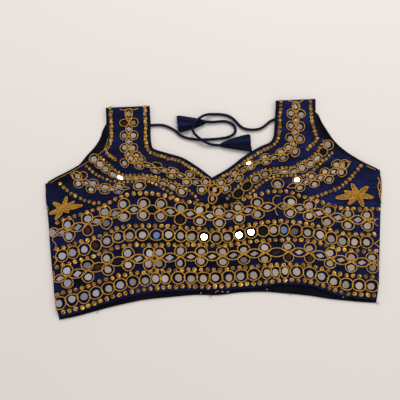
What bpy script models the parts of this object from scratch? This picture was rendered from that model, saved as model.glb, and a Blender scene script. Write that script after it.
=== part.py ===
"""Sleeveless blouse with mirror work, laid flat with its front up.

Sizes and tables are in millimetres and become metres where a mesh is made. The blouse lies on z = 0.
X runs across it, to the right as it is seen from above, and Y runs from the hem to the shoulders.
Each panel is a wall of cloth. The front lies on the back, and its straps fold over at the top and meet
the back's straps underneath.
"""

import math

import bmesh
import bpy
import numpy as np
from mathutils import Vector
from mathutils.geometry import delaunay_2d_cdt

MM = 0.001

# Cloth
WALL = 1.8                  # silk and lining together
GAP = 0.3                   # between pieces at a seam, and between layers
FRONT_INSIDE = WALL + GAP   # height of the front's inner side where it lies on the back
CUSHION = 0.7               # extra thickness of the front over the bust
PUFF_LIMIT = 3.5            # most that the front stands off the back
EDGE_FADE = 32.0            # distance from an edge over which the puff grows
THINNEST = 1.0              # the wall under the deepest crease

# Straps
FOLD = 133.35               # where the top of the straps starts to turn under
TURN_OUTSIDE = 2.65         # radius of the turn, outside
TURN_INSIDE = TURN_OUTSIDE - WALL
TURN_MIDDLE = (TURN_OUTSIDE + TURN_INSIDE) / 2
TURN_STEPS = 6
RETURN = 12.0               # from the fold to the shoulder seam, underneath
FOLD_RISE = 15.0            # length over which the strap rises to its fold
STRAP_COLUMN = 8.0

# Edges
PIPING_RADIUS = WALL / 2
OUTLINE_STEP = 6.5
FRONT_GRID = 11.0
LINING_GRID = 18.0
BACK_GRID = 24.0

# Mirrors, each raised from the front's outer side
MIRROR_RISE = 0.9
MIRROR_BEVEL = 0.6
ROUND_MIRROR = 10.0
ROUND_SIDES = 8
DIAMOND_LONG = 12.0
DIAMOND_SHORT = 8.0
MIRROR_CLEAR = 7.5          # grid points keep this far from a mirror's centre
MIRROR_EDGE = 6.4           # a mirror's centre keeps this far from an edge
MIRROR_APART = 10.6         # and from another mirror's centre
RING = 15.6                 # a mirror's chain-stitched ring
STRAP_PITCH = 18.0
NECK_PITCH = 22.0
SIDE_PITCH = 17.0
BUST_PITCH = 12.8
DART_REACH = 14.0           # width over which a dart takes up a row

# Cords and tassels
CORD = 3.6
CORD_STEP = 4.2
TASSEL_SIDES = 16
TASSEL_WALL = 1.2

# Colours, as linear values
NAVY_SILK = (0.010, 0.012, 0.075, 1.0)
BLACK_LINING = (0.006, 0.006, 0.012, 1.0)
BLACK_PIPING = (0.005, 0.005, 0.010, 1.0)
NAVY_CORD = (0.008, 0.009, 0.040, 1.0)

# Hem. Columns: across, along of the front's edge, along of the back's edge.
HEM = (
    (-199.0, -133.0, -136.0),
    (-182.0, -130.0, -133.5),
    (-163.0, -125.5, -129.5),
    (-139.0, -118.5, -124.0),
    (-115.0, -113.0, -119.5),
    (-92.0, -108.5, -116.0),
    (-60.0, -107.0, -114.0),
    (-28.0, -108.0, -112.7),
    (0.0, -108.3, -114.0),
    (28.0, -107.7, -112.0),
    (56.0, -106.0, -112.3),
    (75.0, -104.0, -114.2),
    (97.0, -105.5, -117.0),
    (117.0, -108.0, -120.0),
    (137.0, -116.5, -124.0),
    (157.0, -122.5, -127.0),
    (182.0, -126.3, -130.2),
    (196.5, -128.0, -131.5),
)

# Side seams. Columns: along, across at the left, across at the right.
SIDES = (
    (-108.0, -204.3, 201.2),
    (-85.0, -206.5, 204.0),
    (-45.0, -210.5, 209.0),
    (-13.0, -212.8, 213.0),
    (17.0, -216.5, 217.3),
)

# Armholes, from the strap to the underarm. Columns: across, along.
FRONT_ARMHOLE_LEFT = (
    (-135.0, FOLD), (-135.0, 115.0), (-135.0, 95.0), (-140.0, 81.0), (-148.0, 73.0),
    (-161.0, 64.5), (-173.0, 57.5), (-187.0, 50.0), (-203.0, 42.5), (-216.5, 35.0),
)
BACK_ARMHOLE_LEFT = (
    (-134.0, FOLD - RETURN), (-142.0, 106.8), (-146.2, 94.7), (-153.7, 83.0), (-163.9, 72.3),
    (-174.0, 60.5), (-187.5, 53.0), (-204.0, 45.0), (-218.0, 36.5),
)
FRONT_ARMHOLE_RIGHT = (
    (138.6, FOLD), (137.6, 118.0), (139.5, 103.0), (143.0, 89.0), (150.5, 77.0),
    (160.0, 67.5), (171.0, 60.0), (183.0, 53.5), (198.5, 44.0), (216.5, 34.5),
)
BACK_ARMHOLE_RIGHT = (
    (137.0, FOLD - RETURN), (143.6, 115.0), (147.6, 104.6), (154.9, 90.4), (162.2, 78.0),
    (172.8, 66.4), (184.0, 57.4), (199.5, 47.0), (218.0, 36.5),
)

# Front neckline, from each strap to the point of the sweetheart. Columns: across, along.
NECK_POINT = (-1.3, 32.8)
FRONT_NECK_LEFT = (
    (-81.6, FOLD), (-80.9, 110.0), (-81.4, 95.5), (-79.4, 79.0), (-73.0, 73.6),
    (-55.0, 67.4), (-38.6, 61.4), (-22.5, 50.6), (-11.3, 41.4), NECK_POINT,
)
FRONT_NECK_RIGHT = (
    (90.6, FOLD), (88.4, 116.0), (84.6, 88.0), (78.4, 77.8), (66.0, 72.6),
    (52.4, 65.6), (40.4, 58.2), (26.5, 48.0), (14.7, 41.0), NECK_POINT,
)
# Back neck, a deep U hidden under the front. Columns: across, along.
BACK_NECK = (
    (-83.0, FOLD - RETURN), (-82.4, 95.0), (-80.5, 70.0), (-74.0, 38.0), (-60.0, 2.0), (-36.0, -30.0),
    (0.0, -42.0), (36.0, -30.0), (60.0, 2.0), (74.0, 38.0), (82.0, 70.0), (86.5, 92.0),
    (91.0, FOLD - RETURN),
)

# Rows of the lower front. Columns: across, along of the row of dots at the hem, along of the top row.
ROW_EDGES = (
    (-212.0, -129.0, -18.0),
    (-188.0, -125.5, -10.5),
    (-161.0, -119.6, -3.4),
    (-141.0, -113.0, 3.5),
    (-120.0, -108.0, 14.0),
    (-96.0, -103.5, 18.0),
    (-64.0, -101.3, 14.0),
    (-43.0, -101.3, 6.5),
    (-21.0, -102.5, 2.0),
    (1.0, -102.6, -3.6),
    (22.0, -102.0, -1.0),
    (40.0, -101.4, 5.5),
    (60.0, -99.8, 11.0),
    (86.0, -99.0, 13.4),
    (108.0, -100.4, 6.7),
    (128.0, -106.5, 0.0),
    (153.0, -116.5, -9.3),
    (178.0, -120.2, -13.5),
    (210.0, -123.0, -14.8),
)

# Mirror rows between those edges. Columns: height as a share, first mirror across, pitch, count, in pairs,
# then where each dart crosses the row and how much of the row it takes up.
MIRROR_ROWS = (
    (0.10, -198.0, 15.8, 27, False, -76.0, 6.0, 80.0, 10.5),
    (0.34, -189.0, 26.6, 16, True, -80.0, 14.5, 75.0, -3.0),
    (0.585, -195.0, 15.1, 27, False, -84.0, -3.0, 75.0, 4.3),
    (0.855, -187.0, 25.0, 17, True, -80.0, 3.0, 87.5, 8.5),
)

# Bands of the upper front, along routes. Columns of a route: across, along, how far the band is open
# across its width, from 1 where it lies flat to less where a fold tucks it in.
STRAP_LEFT = ((-106.8, 114.0, 1.0), (-107.3, 95.0, 1.0), (-107.4, 78.0, 1.0), (-109.0, 60.4, 1.0))
STRAP_RIGHT = ((114.0, 116.0, 1.0), (111.5, 97.0, 1.0), (109.0, 80.5, 1.0), (104.5, 67.3, 1.0))
NECK_LEFT = ((-93.0, 58.5, 1.0), (-72.5, 51.5, 0.8), (-53.0, 43.4, 0.9), (-32.0, 35.4, 1.0), (-12.0, 25.2, 1.0))
NECK_RIGHT = ((91.0, 61.0, 1.0), (70.0, 56.4, 0.8), (50.0, 49.5, 0.8), (31.0, 38.0, 0.8), (13.0, 23.4, 1.0))
BUST_LEFT = ((-154.0, 68.0, 1.0), (-139.0, 52.0, 0.9), (-122.0, 41.0, 0.6), (-95.0, 37.0, 0.4),
             (-68.0, 34.5, 0.4), (-53.0, 26.0, 0.7), (-41.0, 18.0, 0.9))
BUST_RIGHT = ((152.0, 71.5, 1.0), (135.0, 54.5, 1.0), (115.0, 42.0, 0.9), (93.0, 39.0, 0.65),
              (68.0, 37.0, 0.65), (54.0, 31.5, 0.8), (42.0, 24.0, 0.95), (32.0, 13.5, 1.0))
SIDE_LEFT = ((-171.5, 38.5, 1.0), (-155.5, 29.5, 0.8), (-138.0, 26.5, 0.6), (-121.0, 26.5, 0.6))
SIDE_RIGHT = ((163.5, 41.0, 1.0), (150.0, 31.0, 1.0), (130.0, 23.0, 0.9), (108.5, 21.0, 0.9))
# Columns: route, pitch, in pairs.
BANDS = (
    (STRAP_LEFT, STRAP_PITCH, True), (STRAP_RIGHT, STRAP_PITCH, True),
    (NECK_LEFT, NECK_PITCH, True), (NECK_RIGHT, NECK_PITCH, True),
    (BUST_LEFT, BUST_PITCH, False), (BUST_RIGHT, BUST_PITCH, False),
    (SIDE_LEFT, SIDE_PITCH, True), (SIDE_RIGHT, SIDE_PITCH, True),
)
# Diamonds that stand alone. Columns: across, along, turn in degrees, open.
LONE_DIAMONDS = (
    (-106.8, 125.0, 90.0, 0.9),
    (-97.0, 69.0, -45.0, 0.8),
    (114.4, 125.0, 90.0, 0.9),
    (1.5, 19.5, 30.0, 0.9),
    (-1.0, 7.0, 80.0, 0.9),
)

# Mounds of the front. Columns: across, along, reach across, reach along, height.
MOUNDS = (
    (-98.0, 4.0, 66.0, 40.0, 4.4),
    (94.0, 2.0, 62.0, 38.0, 4.2),
    (-112.0, 62.0, 42.0, 24.0, 3.0),
    (112.0, 62.0, 42.0, 24.0, 3.0),
    (0.0, -62.0, 120.0, 26.0, 2.0),
    (-150.0, -60.0, 60.0, 34.0, 1.6),
    (150.0, -60.0, 60.0, 34.0, 1.6),
)
# Creases of the front. Columns: start across and along, end across and along, depth, half width.
CREASES = (
    (-142.0, 50.0, -118.0, 39.0, 1.4, 6.0),
    (-118.0, 39.0, -70.0, 35.0, 2.2, 6.0),
    (-70.0, 35.0, -44.0, 20.0, 1.5, 6.0),
    (130.0, 50.0, 100.0, 38.5, 1.3, 6.0),
    (100.0, 38.5, 68.0, 36.0, 1.8, 6.0),
    (68.0, 36.0, 44.0, 22.0, 1.3, 6.0),
    (-80.0, -106.0, -81.0, 14.0, 1.0, 4.0),
    (75.0, -104.0, 74.0, 10.0, 1.0, 4.0),
    (-108.0, -46.0, -30.0, -50.0, 1.0, 5.0),
    (-30.0, -50.0, 42.0, -49.0, 1.2, 5.0),
    (-84.0, -82.0, -46.0, -83.0, 0.9, 4.0),
    (28.0, -71.0, 70.0, -71.0, 0.9, 4.0),
    (104.0, -80.0, 132.0, -83.0, 0.9, 4.0),
    (-96.0, 56.0, -62.0, 44.0, 1.0, 5.0),
    (92.0, 58.0, 40.0, 46.0, 1.0, 5.0),
)

# Cord routes on the table. Columns: across, along, height of the cord's middle.
DORI_LEFT = (
    (-77.4, 109.6, 1.9), (-70.0, 109.6, 1.8), (-62.4, 108.8, 1.8), (-54.3, 105.6, 1.8), (-46.5, 100.6, 1.8),
    (-40.2, 94.4, 1.8), (-33.0, 90.8, 1.8), (-24.5, 88.4, 1.8), (-15.7, 87.3, 1.8), (-5.0, 87.0, 1.8),
    (6.0, 87.2, 1.8), (16.0, 87.9, 1.8), (24.0, 89.4, 1.8), (30.6, 93.2, 1.8), (33.0, 98.4, 1.8),
    (31.6, 103.6, 1.8), (27.4, 107.8, 1.8), (21.0, 110.4, 1.8), (13.0, 110.9, 1.8), (5.0, 110.4, 2.0),
    (-2.6, 110.8, 2.3),
)
DORI_RIGHT = (
    (84.9, 110.4, 1.9), (80.0, 108.4, 1.8), (74.0, 103.8, 1.8), (67.0, 99.3, 1.8), (58.0, 97.6, 1.8),
    (49.0, 98.4, 1.8), (42.6, 100.8, 1.8), (38.4, 104.4, 1.8), (34.2, 109.6, 1.8), (29.2, 114.8, 1.8),
    (22.6, 118.6, 1.8), (14.5, 120.4, 1.8), (6.0, 121.0, 1.9), (-1.5, 120.6, 3.4), (-9.0, 117.8, 6.6),
    (-16.0, 112.6, 8.4), (-21.4, 106.4, 8.9), (-23.6, 100.2, 8.4), (-21.6, 94.6, 7.2), (-17.0, 89.6, 6.2),
    (-11.0, 84.8, 5.4), (-4.0, 81.2, 3.6), (2.4, 79.4, 2.5), (8.2, 78.7, 2.3),
)

# Tassels, flared and flattened. Columns: share of the length, half width, height.
TASSEL_FORM = (
    (0.00, 2.1, 4.2),
    (0.10, 3.0, 4.8),
    (0.35, 5.6, 5.6),
    (0.70, 9.0, 5.8),
    (0.93, 11.0, 6.0),
    (1.00, 10.6, 5.6),
)
TASSEL_DEPTH = 0.45         # how far the open end is hollow, as a share of the length
# Columns: node, root across and along, open end across and along, lean of the open end.
TASSELS = (
    ("tassel_left", -6.3, 110.9, -42.6, 107.9, -1.6),
    ("tassel_right", 11.9, 78.4, 51.8, 81.0, -1.5),
)


def clear_scene():
    """Remove what the scene holds."""
    for item in list(bpy.data.objects):
        bpy.data.objects.remove(item, do_unlink=True)


def finish(name, colour, roughness, sheen):
    """A plain material for one sub-part."""
    material = bpy.data.materials.new(name)
    material.use_nodes = True
    shader = material.node_tree.nodes["Principled BSDF"]
    shader.inputs["Base Color"].default_value = colour
    shader.inputs["Roughness"].default_value = roughness
    shader.inputs["Sheen Weight"].default_value = sheen
    return material


def smooth_curve(points, step):
    """Points about one step apart on a smooth curve through the given ones (a Catmull-Rom curve)."""
    p = np.array(points, dtype=float)
    p = np.vstack([2 * p[0] - p[1], p, 2 * p[-1] - p[-2]])
    t = np.linspace(0.0, 1.0, 24, endpoint=False)[:, None]
    pieces = []
    for a, b, c, d in zip(p, p[1:], p[2:], p[3:]):
        bend = 2 * a - 5 * b + 4 * c - d
        twist = -a + 3 * b - 3 * c + d
        pieces.append(0.5 * (2 * b + (c - a) * t + bend * t ** 2 + twist * t ** 3))
    fine = np.vstack(pieces + [p[-2][None, :]])
    length = np.concatenate([[0.0], np.cumsum(np.linalg.norm(np.diff(fine[:, :2], axis=0), axis=1))])
    count = max(2, round(length[-1] / step) + 1)
    at = np.linspace(0.0, length[-1], count)
    return np.column_stack([np.interp(at, length, fine[:, k]) for k in range(fine.shape[1])])


def table_height(table, column, across):
    """One column of a table of heights, read smoothly at a place across."""
    rows = np.array(table, dtype=float)
    curve = smooth_curve(rows[:, [0, column]], 2.0)
    return np.interp(across, curve[:, 0], curve[:, 1])


def ease(value):
    """Ease from 0 to 1 with level ends."""
    value = np.clip(value, 0.0, 1.0)
    return value * value * (3 - 2 * value)


def line_distance(x, y, start, end):
    """Distance of points from a straight stretch, and their share along it."""
    run = np.subtract(end, start)
    share = ((x - start[0]) * run[0] + (y - start[1]) * run[1]) / run.dot(run)
    share = np.clip(share, 0.0, 1.0)
    return np.hypot(x - start[0] - share * run[0], y - start[1] - share * run[1]), share


def strap_levels():
    """Lengths along a strap at which the turn and the return have a row of points."""
    turn = [FOLD + TURN_MIDDLE * math.pi * k / TURN_STEPS for k in range(TURN_STEPS + 1)]
    return turn + [FOLD + TURN_MIDDLE * math.pi + RETURN]


def strap_end(outer, inner):
    """Outline points of one strap past the fold: up its outer edge, across, and down its inner edge."""
    levels = strap_levels()
    columns = max(2, round(abs(outer - inner) / STRAP_COLUMN))
    up = [(outer, level) for level in levels[1:]]
    across = [(outer + (inner - outer) * k / columns, levels[-1]) for k in range(1, columns)]
    down = [(inner, level) for level in reversed(levels[1:])]
    return up + across + down


def strap_rows(outer, inner):
    """Inner points of one strap in its turn, in the same columns as its end."""
    columns = max(2, round(abs(outer - inner) / STRAP_COLUMN))
    return [(outer + (inner - outer) * k / columns, level)
            for level in strap_levels()[:-1] for k in range(1, columns)]


def side_seam(side):
    """Points of a side seam from the hem to the underarm, without its ends."""
    column = 1 if side < 0 else 2
    return [(row[column], row[0]) for row in SIDES]


def front_outline():
    """The front's edge, counter-clockwise from the left end of its hem, straps opened out."""
    hem = smooth_curve([(row[0], row[1]) for row in HEM], OUTLINE_STEP)
    right = smooth_curve([hem[-1]] + side_seam(1) + [FRONT_ARMHOLE_RIGHT[-1]], OUTLINE_STEP)
    armhole_right = smooth_curve(FRONT_ARMHOLE_RIGHT[::-1], OUTLINE_STEP)
    neck_right = smooth_curve(FRONT_NECK_RIGHT, OUTLINE_STEP)
    neck_left = smooth_curve(FRONT_NECK_LEFT[::-1], OUTLINE_STEP)
    armhole_left = smooth_curve(FRONT_ARMHOLE_LEFT, OUTLINE_STEP)
    left = smooth_curve([FRONT_ARMHOLE_LEFT[-1]] + side_seam(-1)[::-1] + [hem[0]], OUTLINE_STEP)
    strap_right = strap_end(FRONT_ARMHOLE_RIGHT[0][0], FRONT_NECK_RIGHT[0][0])
    strap_left = strap_end(FRONT_NECK_LEFT[0][0], FRONT_ARMHOLE_LEFT[0][0])
    runs = [hem[:-1], right[:-1], armhole_right, strap_right, neck_right[:-1], neck_left,
            strap_left, armhole_left[:-1], left[:-1]]
    return [tuple(point) for run in runs for point in run]


def back_outline():
    """The back's edge, counter-clockwise from the left end of its hem."""
    hem = smooth_curve([(row[0], row[2]) for row in HEM], OUTLINE_STEP)
    right = smooth_curve([hem[-1]] + side_seam(1) + [BACK_ARMHOLE_RIGHT[-1]], OUTLINE_STEP)
    armhole_right = smooth_curve(BACK_ARMHOLE_RIGHT[::-1], OUTLINE_STEP)
    neck = smooth_curve(BACK_NECK[::-1], OUTLINE_STEP)
    armhole_left = smooth_curve(BACK_ARMHOLE_LEFT, OUTLINE_STEP)
    left = smooth_curve([BACK_ARMHOLE_LEFT[-1]] + side_seam(-1)[::-1] + [hem[0]], OUTLINE_STEP)
    tops = [armhole_right[-1][0], neck[0][0], neck[-1][0], armhole_left[0][0]]
    seam_right = [(x, FOLD - RETURN - GAP) for x in np.linspace(tops[0], tops[1], 6)]
    seam_left = [(x, FOLD - RETURN - GAP) for x in np.linspace(tops[2], tops[3], 6)]
    runs = [hem[:-1], right[:-1], armhole_right[:-1], seam_right, neck[1:-1], seam_left,
            armhole_left[1:-1], left[:-1]]
    return [tuple(point) for run in runs for point in run]


def edge_distance(x, y, outline):
    """Distance of points from the nearest edge of an outline."""
    nearest = np.full(np.shape(x), np.inf)
    for start, end in zip(outline, outline[1:] + outline[:1]):
        nearest = np.minimum(nearest, line_distance(x, y, start, end)[0])
    return nearest


def puff(x, y, outline):
    """How far the front stands off the back: mounds that fade out towards every edge."""
    total = np.zeros(np.shape(x))
    for mid_x, mid_y, reach_x, reach_y, height in MOUNDS:
        total = total + height * np.exp(-((x - mid_x) / reach_x) ** 2 - ((y - mid_y) / reach_y) ** 2)
    for ax, ay, bx, by, depth, _ in CREASES[:6]:
        away, _ = line_distance(x, y, (ax, ay), (bx, by))
        total = total - 0.6 * depth * np.exp(-(away / 12.0) ** 2)
    return np.clip(total, 0.0, PUFF_LIMIT) * ease(edge_distance(x, y, outline) / EDGE_FADE)


def crease_depth(x, y):
    """Depth of the creases: grooves with round bottoms that run out at their ends."""
    total = np.zeros(np.shape(x))
    for ax, ay, bx, by, depth, half in CREASES:
        away, share = line_distance(x, y, (ax, ay), (bx, by))
        ends = 0.5 + 0.5 * np.sin(math.pi * share)
        total = np.maximum(total, depth * ends * np.exp(-(away / half) ** 2))
    return total


def front_inside(x, y, outline):
    """Height of the front's inner side up to the fold."""
    rise = (TURN_OUTSIDE + TURN_INSIDE - FRONT_INSIDE) * ease((y - FOLD + FOLD_RISE) / FOLD_RISE)
    return FRONT_INSIDE + puff(x, y, outline) + rise


def front_thickness(x, y, outline):
    """The front's thickness without its mirrors: fuller on the mounds, thinner in the creases."""
    full = WALL + CUSHION * puff(x, y, outline) / PUFF_LIMIT
    fade = ease(edge_distance(x, y, outline) / 8.0)
    return np.maximum(THINNEST, full - crease_depth(x, y) * fade)


def turned(x, level, out):
    """Where a strap's point past the fold lies, a distance out from the wall's inner side."""
    angle = min((level - FOLD) / TURN_MIDDLE, math.pi)
    back = max(0.0, level - FOLD - TURN_MIDDLE * math.pi)
    radius = TURN_INSIDE + out
    return x, FOLD + radius * math.sin(angle) - back, TURN_OUTSIDE + radius * math.cos(angle)


def row_path(share):
    """A row's curve across the lower front, at a share of the way between its two edges."""
    across = np.arange(-212.0, 210.0, 2.0)
    low = table_height(ROW_EDGES, 1, across)
    high = table_height(ROW_EDGES, 2, across)
    return np.column_stack([across, low + share * (high - low)])


def walk(path, first, pitch, count, darts):
    """Places one pitch apart along a row's curve, less the cloth that its darts take up."""
    length = np.concatenate([[0.0], np.cumsum(np.linalg.norm(np.diff(path, axis=0), axis=1))])
    tuck = sum(taken * ease((path[:, 0] - dart) / DART_REACH + 0.5) for dart, taken in darts)
    opened = length + tuck
    start = np.interp(first, path[:, 0], opened)
    at = np.interp(start + pitch * np.arange(count), opened, path[:, 0])
    return [(x, float(np.interp(x, path[:, 0], path[:, 1]))) for x in at]


def turn_at(path, place):
    """Direction of a path at a place on it, in radians."""
    k = int(np.clip(np.argmin(np.hypot(path[:, 0] - place[0], path[:, 1] - place[1])), 1, len(path) - 2))
    return math.atan2(path[k + 1][1] - path[k - 1][1], path[k + 1][0] - path[k - 1][0])


def pair_mirrors(places, turns, opens):
    """Mirrors of a band of pairs: two rounds beside each place, and a diamond on the line to the next."""
    mirrors = []
    for (x, y), turn, opened in zip(places, turns, opens):
        reach = 0.47 * RING * opened
        side = (-math.sin(turn) * reach, math.cos(turn) * reach)
        mirrors.append(("round", x + side[0], y + side[1], turn, opened))
        mirrors.append(("round", x - side[0], y - side[1], turn, opened))
    for (x, y), (nx, ny), opened in zip(places, places[1:], opens):
        mirrors.append(("diamond", (x + nx) / 2, (y + ny) / 2, math.atan2(ny - y, nx - x), opened))
    return mirrors


def front_mirrors():
    """Every mirror of the front: kind, across, along, turn, and how far it is open across its row."""
    mirrors = []
    for share, first, pitch, count, paired, left, left_tuck, right, right_tuck in MIRROR_ROWS:
        path = row_path(share)
        places = walk(path, first, pitch, count, ((left, left_tuck), (right, right_tuck)))
        turns = [turn_at(path, place) for place in places]
        if paired:
            mirrors += pair_mirrors(places, turns, [1.0] * len(places))
        else:
            mirrors += [("round", x, y, turn, 1.0) for (x, y), turn in zip(places, turns)]
    for route, pitch, paired in BANDS:
        path = smooth_curve(route, 1.0)
        count = round((len(path) - 1) / pitch) + 1
        steps = [round(k * (len(path) - 1) / max(1, count - 1)) for k in range(count)]
        places = [(path[k][0], path[k][1]) for k in steps]
        turns = [turn_at(path, place) for place in places]
        opens = [path[k][2] for k in steps]
        if paired:
            mirrors += pair_mirrors(places, turns, opens)
        else:
            mirrors += [("round", x, y, t, o) for (x, y), t, o in zip(places, turns, opens)]
    mirrors += [("diamond", x, y, math.radians(turn), opened) for x, y, turn, opened in LONE_DIAMONDS]
    return mirrors


def mirror_loop(mirror, inset):
    """One mirror's edge, drawn in by an inset: a round of eight corners, or a diamond."""
    kind, x, y, turn, opened = mirror
    if kind == "round":
        step = 2 * math.pi / ROUND_SIDES
        corners = [(math.cos(step * (k + 0.5)), math.sin(step * (k + 0.5))) for k in range(ROUND_SIDES)]
        long, short = ROUND_MIRROR / 2 - inset, ROUND_MIRROR / 2 - inset
    else:
        corners = [(1, 0), (0, 1), (-1, 0), (0, -1)]
        long, short = DIAMOND_LONG / 2 - inset * 1.5, DIAMOND_SHORT / 2 - inset
    cos, sin = math.cos(turn), math.sin(turn)
    loop = []
    for u, v in corners:
        u, v = u * long, v * short * opened
        loop.append((x + u * cos - v * sin, y + u * sin + v * cos))
    return loop


def spaced_mirrors(outline):
    """The mirrors that keep clear of the front's edge and of each other."""
    kept = []
    for mirror in front_mirrors():
        x, y = mirror[1], mirror[2]
        if edge_distance(np.array([x]), np.array([y]), outline)[0] < MIRROR_EDGE:
            continue
        if all(math.hypot(x - other[1], y - other[2]) > MIRROR_APART for other in kept):
            kept.append(mirror)
    return kept


def inside(outline, x, y):
    """Whether points lie inside an outline, by counting the edges that a line across them meets."""
    crossings = np.zeros(np.shape(x), dtype=int)
    for (ax, ay), (bx, by) in zip(outline, outline[1:] + outline[:1]):
        if ay != by:
            between = (ay > y) != (by > y)
            crossings += between & (x < ax + (y - ay) * (bx - ax) / (by - ay))
    return crossings % 2 == 1


def grid_points(outline, spacing, margin, top):
    """Points of a staggered grid inside an outline, a margin from its edge and below a top line."""
    corners = np.array(outline)
    low, high = corners.min(axis=0), corners.max(axis=0)
    rows = np.arange(low[1], high[1], spacing * 0.87)
    grid = [(x + (k % 2) * spacing / 2, y) for k, y in enumerate(rows)
            for x in np.arange(low[0], high[0], spacing)]
    x, y = np.array(grid).T
    keep = inside(outline, x, y) & (edge_distance(x, y, outline) > margin) & (y < top)
    return list(zip(x[keep], y[keep]))


def crease_points():
    """Points along each crease, on its bottom and at its two sides."""
    points = []
    for ax, ay, bx, by, _, half in CREASES:
        run = math.hypot(bx - ax, by - ay)
        side = (-(by - ay) / run * half, (bx - ax) / run * half)
        for share in np.linspace(0.0, 1.0, max(2, round(run / (FRONT_GRID * 0.7)))):
            x, y = ax + (bx - ax) * share, ay + (by - ay) * share
            points += [(x + side[0] * k, y + side[1] * k) for k in (-1.3, 0.0, 1.3)]
    return points


def clear_points(points, mirrors, outline, margin):
    """The points that lie inside, off the edge, off every mirror and off each other."""
    kept = []
    centres = np.array([(m[1], m[2]) for m in mirrors])
    x, y = np.array(points).T
    good = inside(outline, x, y) & (edge_distance(x, y, outline) > margin)
    for px, py in zip(x[good], y[good]):
        if np.hypot(centres[:, 0] - px, centres[:, 1] - py).min() < MIRROR_CLEAR:
            continue
        if all(math.hypot(px - kx, py - ky) > FRONT_GRID * 0.45 for kx, ky in kept):
            kept.append((px, py))
    return kept


def triangles(outline, loops, loose):
    """Triangles that fill an outline through the loops and loose points in it, and its own points first."""
    points = list(outline)
    edges = [(k, (k + 1) % len(outline)) for k in range(len(outline))]
    for loop in loops:
        first = len(points)
        points += loop
        edges += [(first + k, first + (k + 1) % len(loop)) for k in range(len(loop))]
    points += loose
    made = delaunay_2d_cdt([Vector(p) for p in points], edges, [], 1, 1e-5)
    places, faces, sources = made[0], made[2], made[3]
    home = {}
    for index, source in enumerate(sources):
        for old in source:
            home[old] = index
    rim = [home[k] for k in range(len(outline))]
    return [tuple(p) for p in places], faces, rim


def wall_object(name, outer, inner, lift_outer, lift_inner, material):
    """A closed wall: an outer and an inner side with the same edge, joined by a rim."""
    outer_points, outer_faces, outer_rim = outer
    inner_points, inner_faces, inner_rim = inner
    shift = len(outer_points)
    vertices = lift_outer(outer_points) + lift_inner(inner_points)
    faces = [list(face) for face in outer_faces]
    faces += [[shift + k for k in reversed(face)] for face in inner_faces]
    count = len(outer_rim)
    for k in range(count):
        after = (k + 1) % count
        faces.append([shift + inner_rim[k], shift + inner_rim[after], outer_rim[after], outer_rim[k]])
    mesh = bpy.data.meshes.new(name)
    mesh.from_pydata([(x * MM, y * MM, z * MM) for x, y, z in vertices], [], faces)
    model = bmesh.new()
    model.from_mesh(mesh)
    bmesh.ops.triangulate(model, faces=model.faces)
    bmesh.ops.recalc_face_normals(model, faces=model.faces)
    model.to_mesh(mesh)
    model.free()
    mesh.shade_smooth()
    mesh.set_sharp_from_angle(angle=math.radians(40))
    mesh.materials.append(material)
    item = bpy.data.objects.new(name, mesh)
    bpy.context.collection.objects.link(item)
    return item


def front_panel():
    """The front, with its mirrors raised and its straps folded over."""
    outline = front_outline()
    flat_outline = [point for point in outline if point[1] <= FOLD + 0.01]
    mirrors = spaced_mirrors(flat_outline)
    bases = [mirror_loop(mirror, -0.2) for mirror in mirrors]
    tops = [mirror_loop(mirror, MIRROR_BEVEL) for mirror in mirrors]
    turn_points = (strap_rows(FRONT_ARMHOLE_RIGHT[0][0], FRONT_NECK_RIGHT[0][0])
                   + strap_rows(FRONT_NECK_LEFT[0][0], FRONT_ARMHOLE_LEFT[0][0]))
    loose = crease_points() + grid_points(outline, FRONT_GRID, 4.0, FOLD - 4.0)
    loose = clear_points(loose, mirrors, outline, 3.5)
    outer = triangles(outline, bases + tops, loose + turn_points)
    inner = triangles(outline, [], grid_points(outline, LINING_GRID, 8.0, FOLD - 6.0) + turn_points)
    raised = {(round(x, 3), round(y, 3)) for loop in tops for x, y in loop}

    def outer_side(points):
        x, y = np.array(points).T
        height = front_inside(x, y, flat_outline) + front_thickness(x, y, flat_outline)
        lifted = []
        for px, py, pz in zip(x, y, height):
            if py > FOLD:
                lifted.append(turned(px, py, WALL))
            else:
                extra = MIRROR_RISE if (round(px, 3), round(py, 3)) in raised else 0.0
                lifted.append((px, py, pz + extra))
        return lifted

    def inner_side(points):
        x, y = np.array(points).T
        height = front_inside(x, y, flat_outline)
        return [turned(px, py, 0.0) if py > FOLD else (px, py, pz) for px, py, pz in zip(x, y, height)]

    return wall_object("front_panel", outer, inner, outer_side, inner_side,
                       finish("navy silk", NAVY_SILK, 0.42, 0.3))


def back_panel():
    """The back, flat on the table with its lining up, its hem below the front's and its neck a deep U."""
    outline = back_outline()
    side = triangles(outline, [], grid_points(outline, BACK_GRID, 8.0, FOLD))
    return wall_object("back_panel", side, side,
                       lambda points: [(x, y, WALL) for x, y in points],
                       lambda points: [(x, y, 0.0) for x, y in points],
                       finish("black lining", BLACK_LINING, 0.75, 0.1))


def tube(name, points, radius, material):
    """A round tube along points, with closed ends."""
    data = bpy.data.curves.new(name, "CURVE")
    data.dimensions = "3D"
    data.bevel_depth = radius * MM
    data.bevel_resolution = 2
    data.use_fill_caps = True
    spline = data.splines.new("POLY")
    spline.points.add(len(points) - 1)
    for slot, (x, y, z) in zip(spline.points, points):
        slot.co = (x * MM, y * MM, z * MM, 1.0)
    data.materials.append(material)
    item = bpy.data.objects.new(name, data)
    bpy.context.collection.objects.link(item)
    return item


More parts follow.
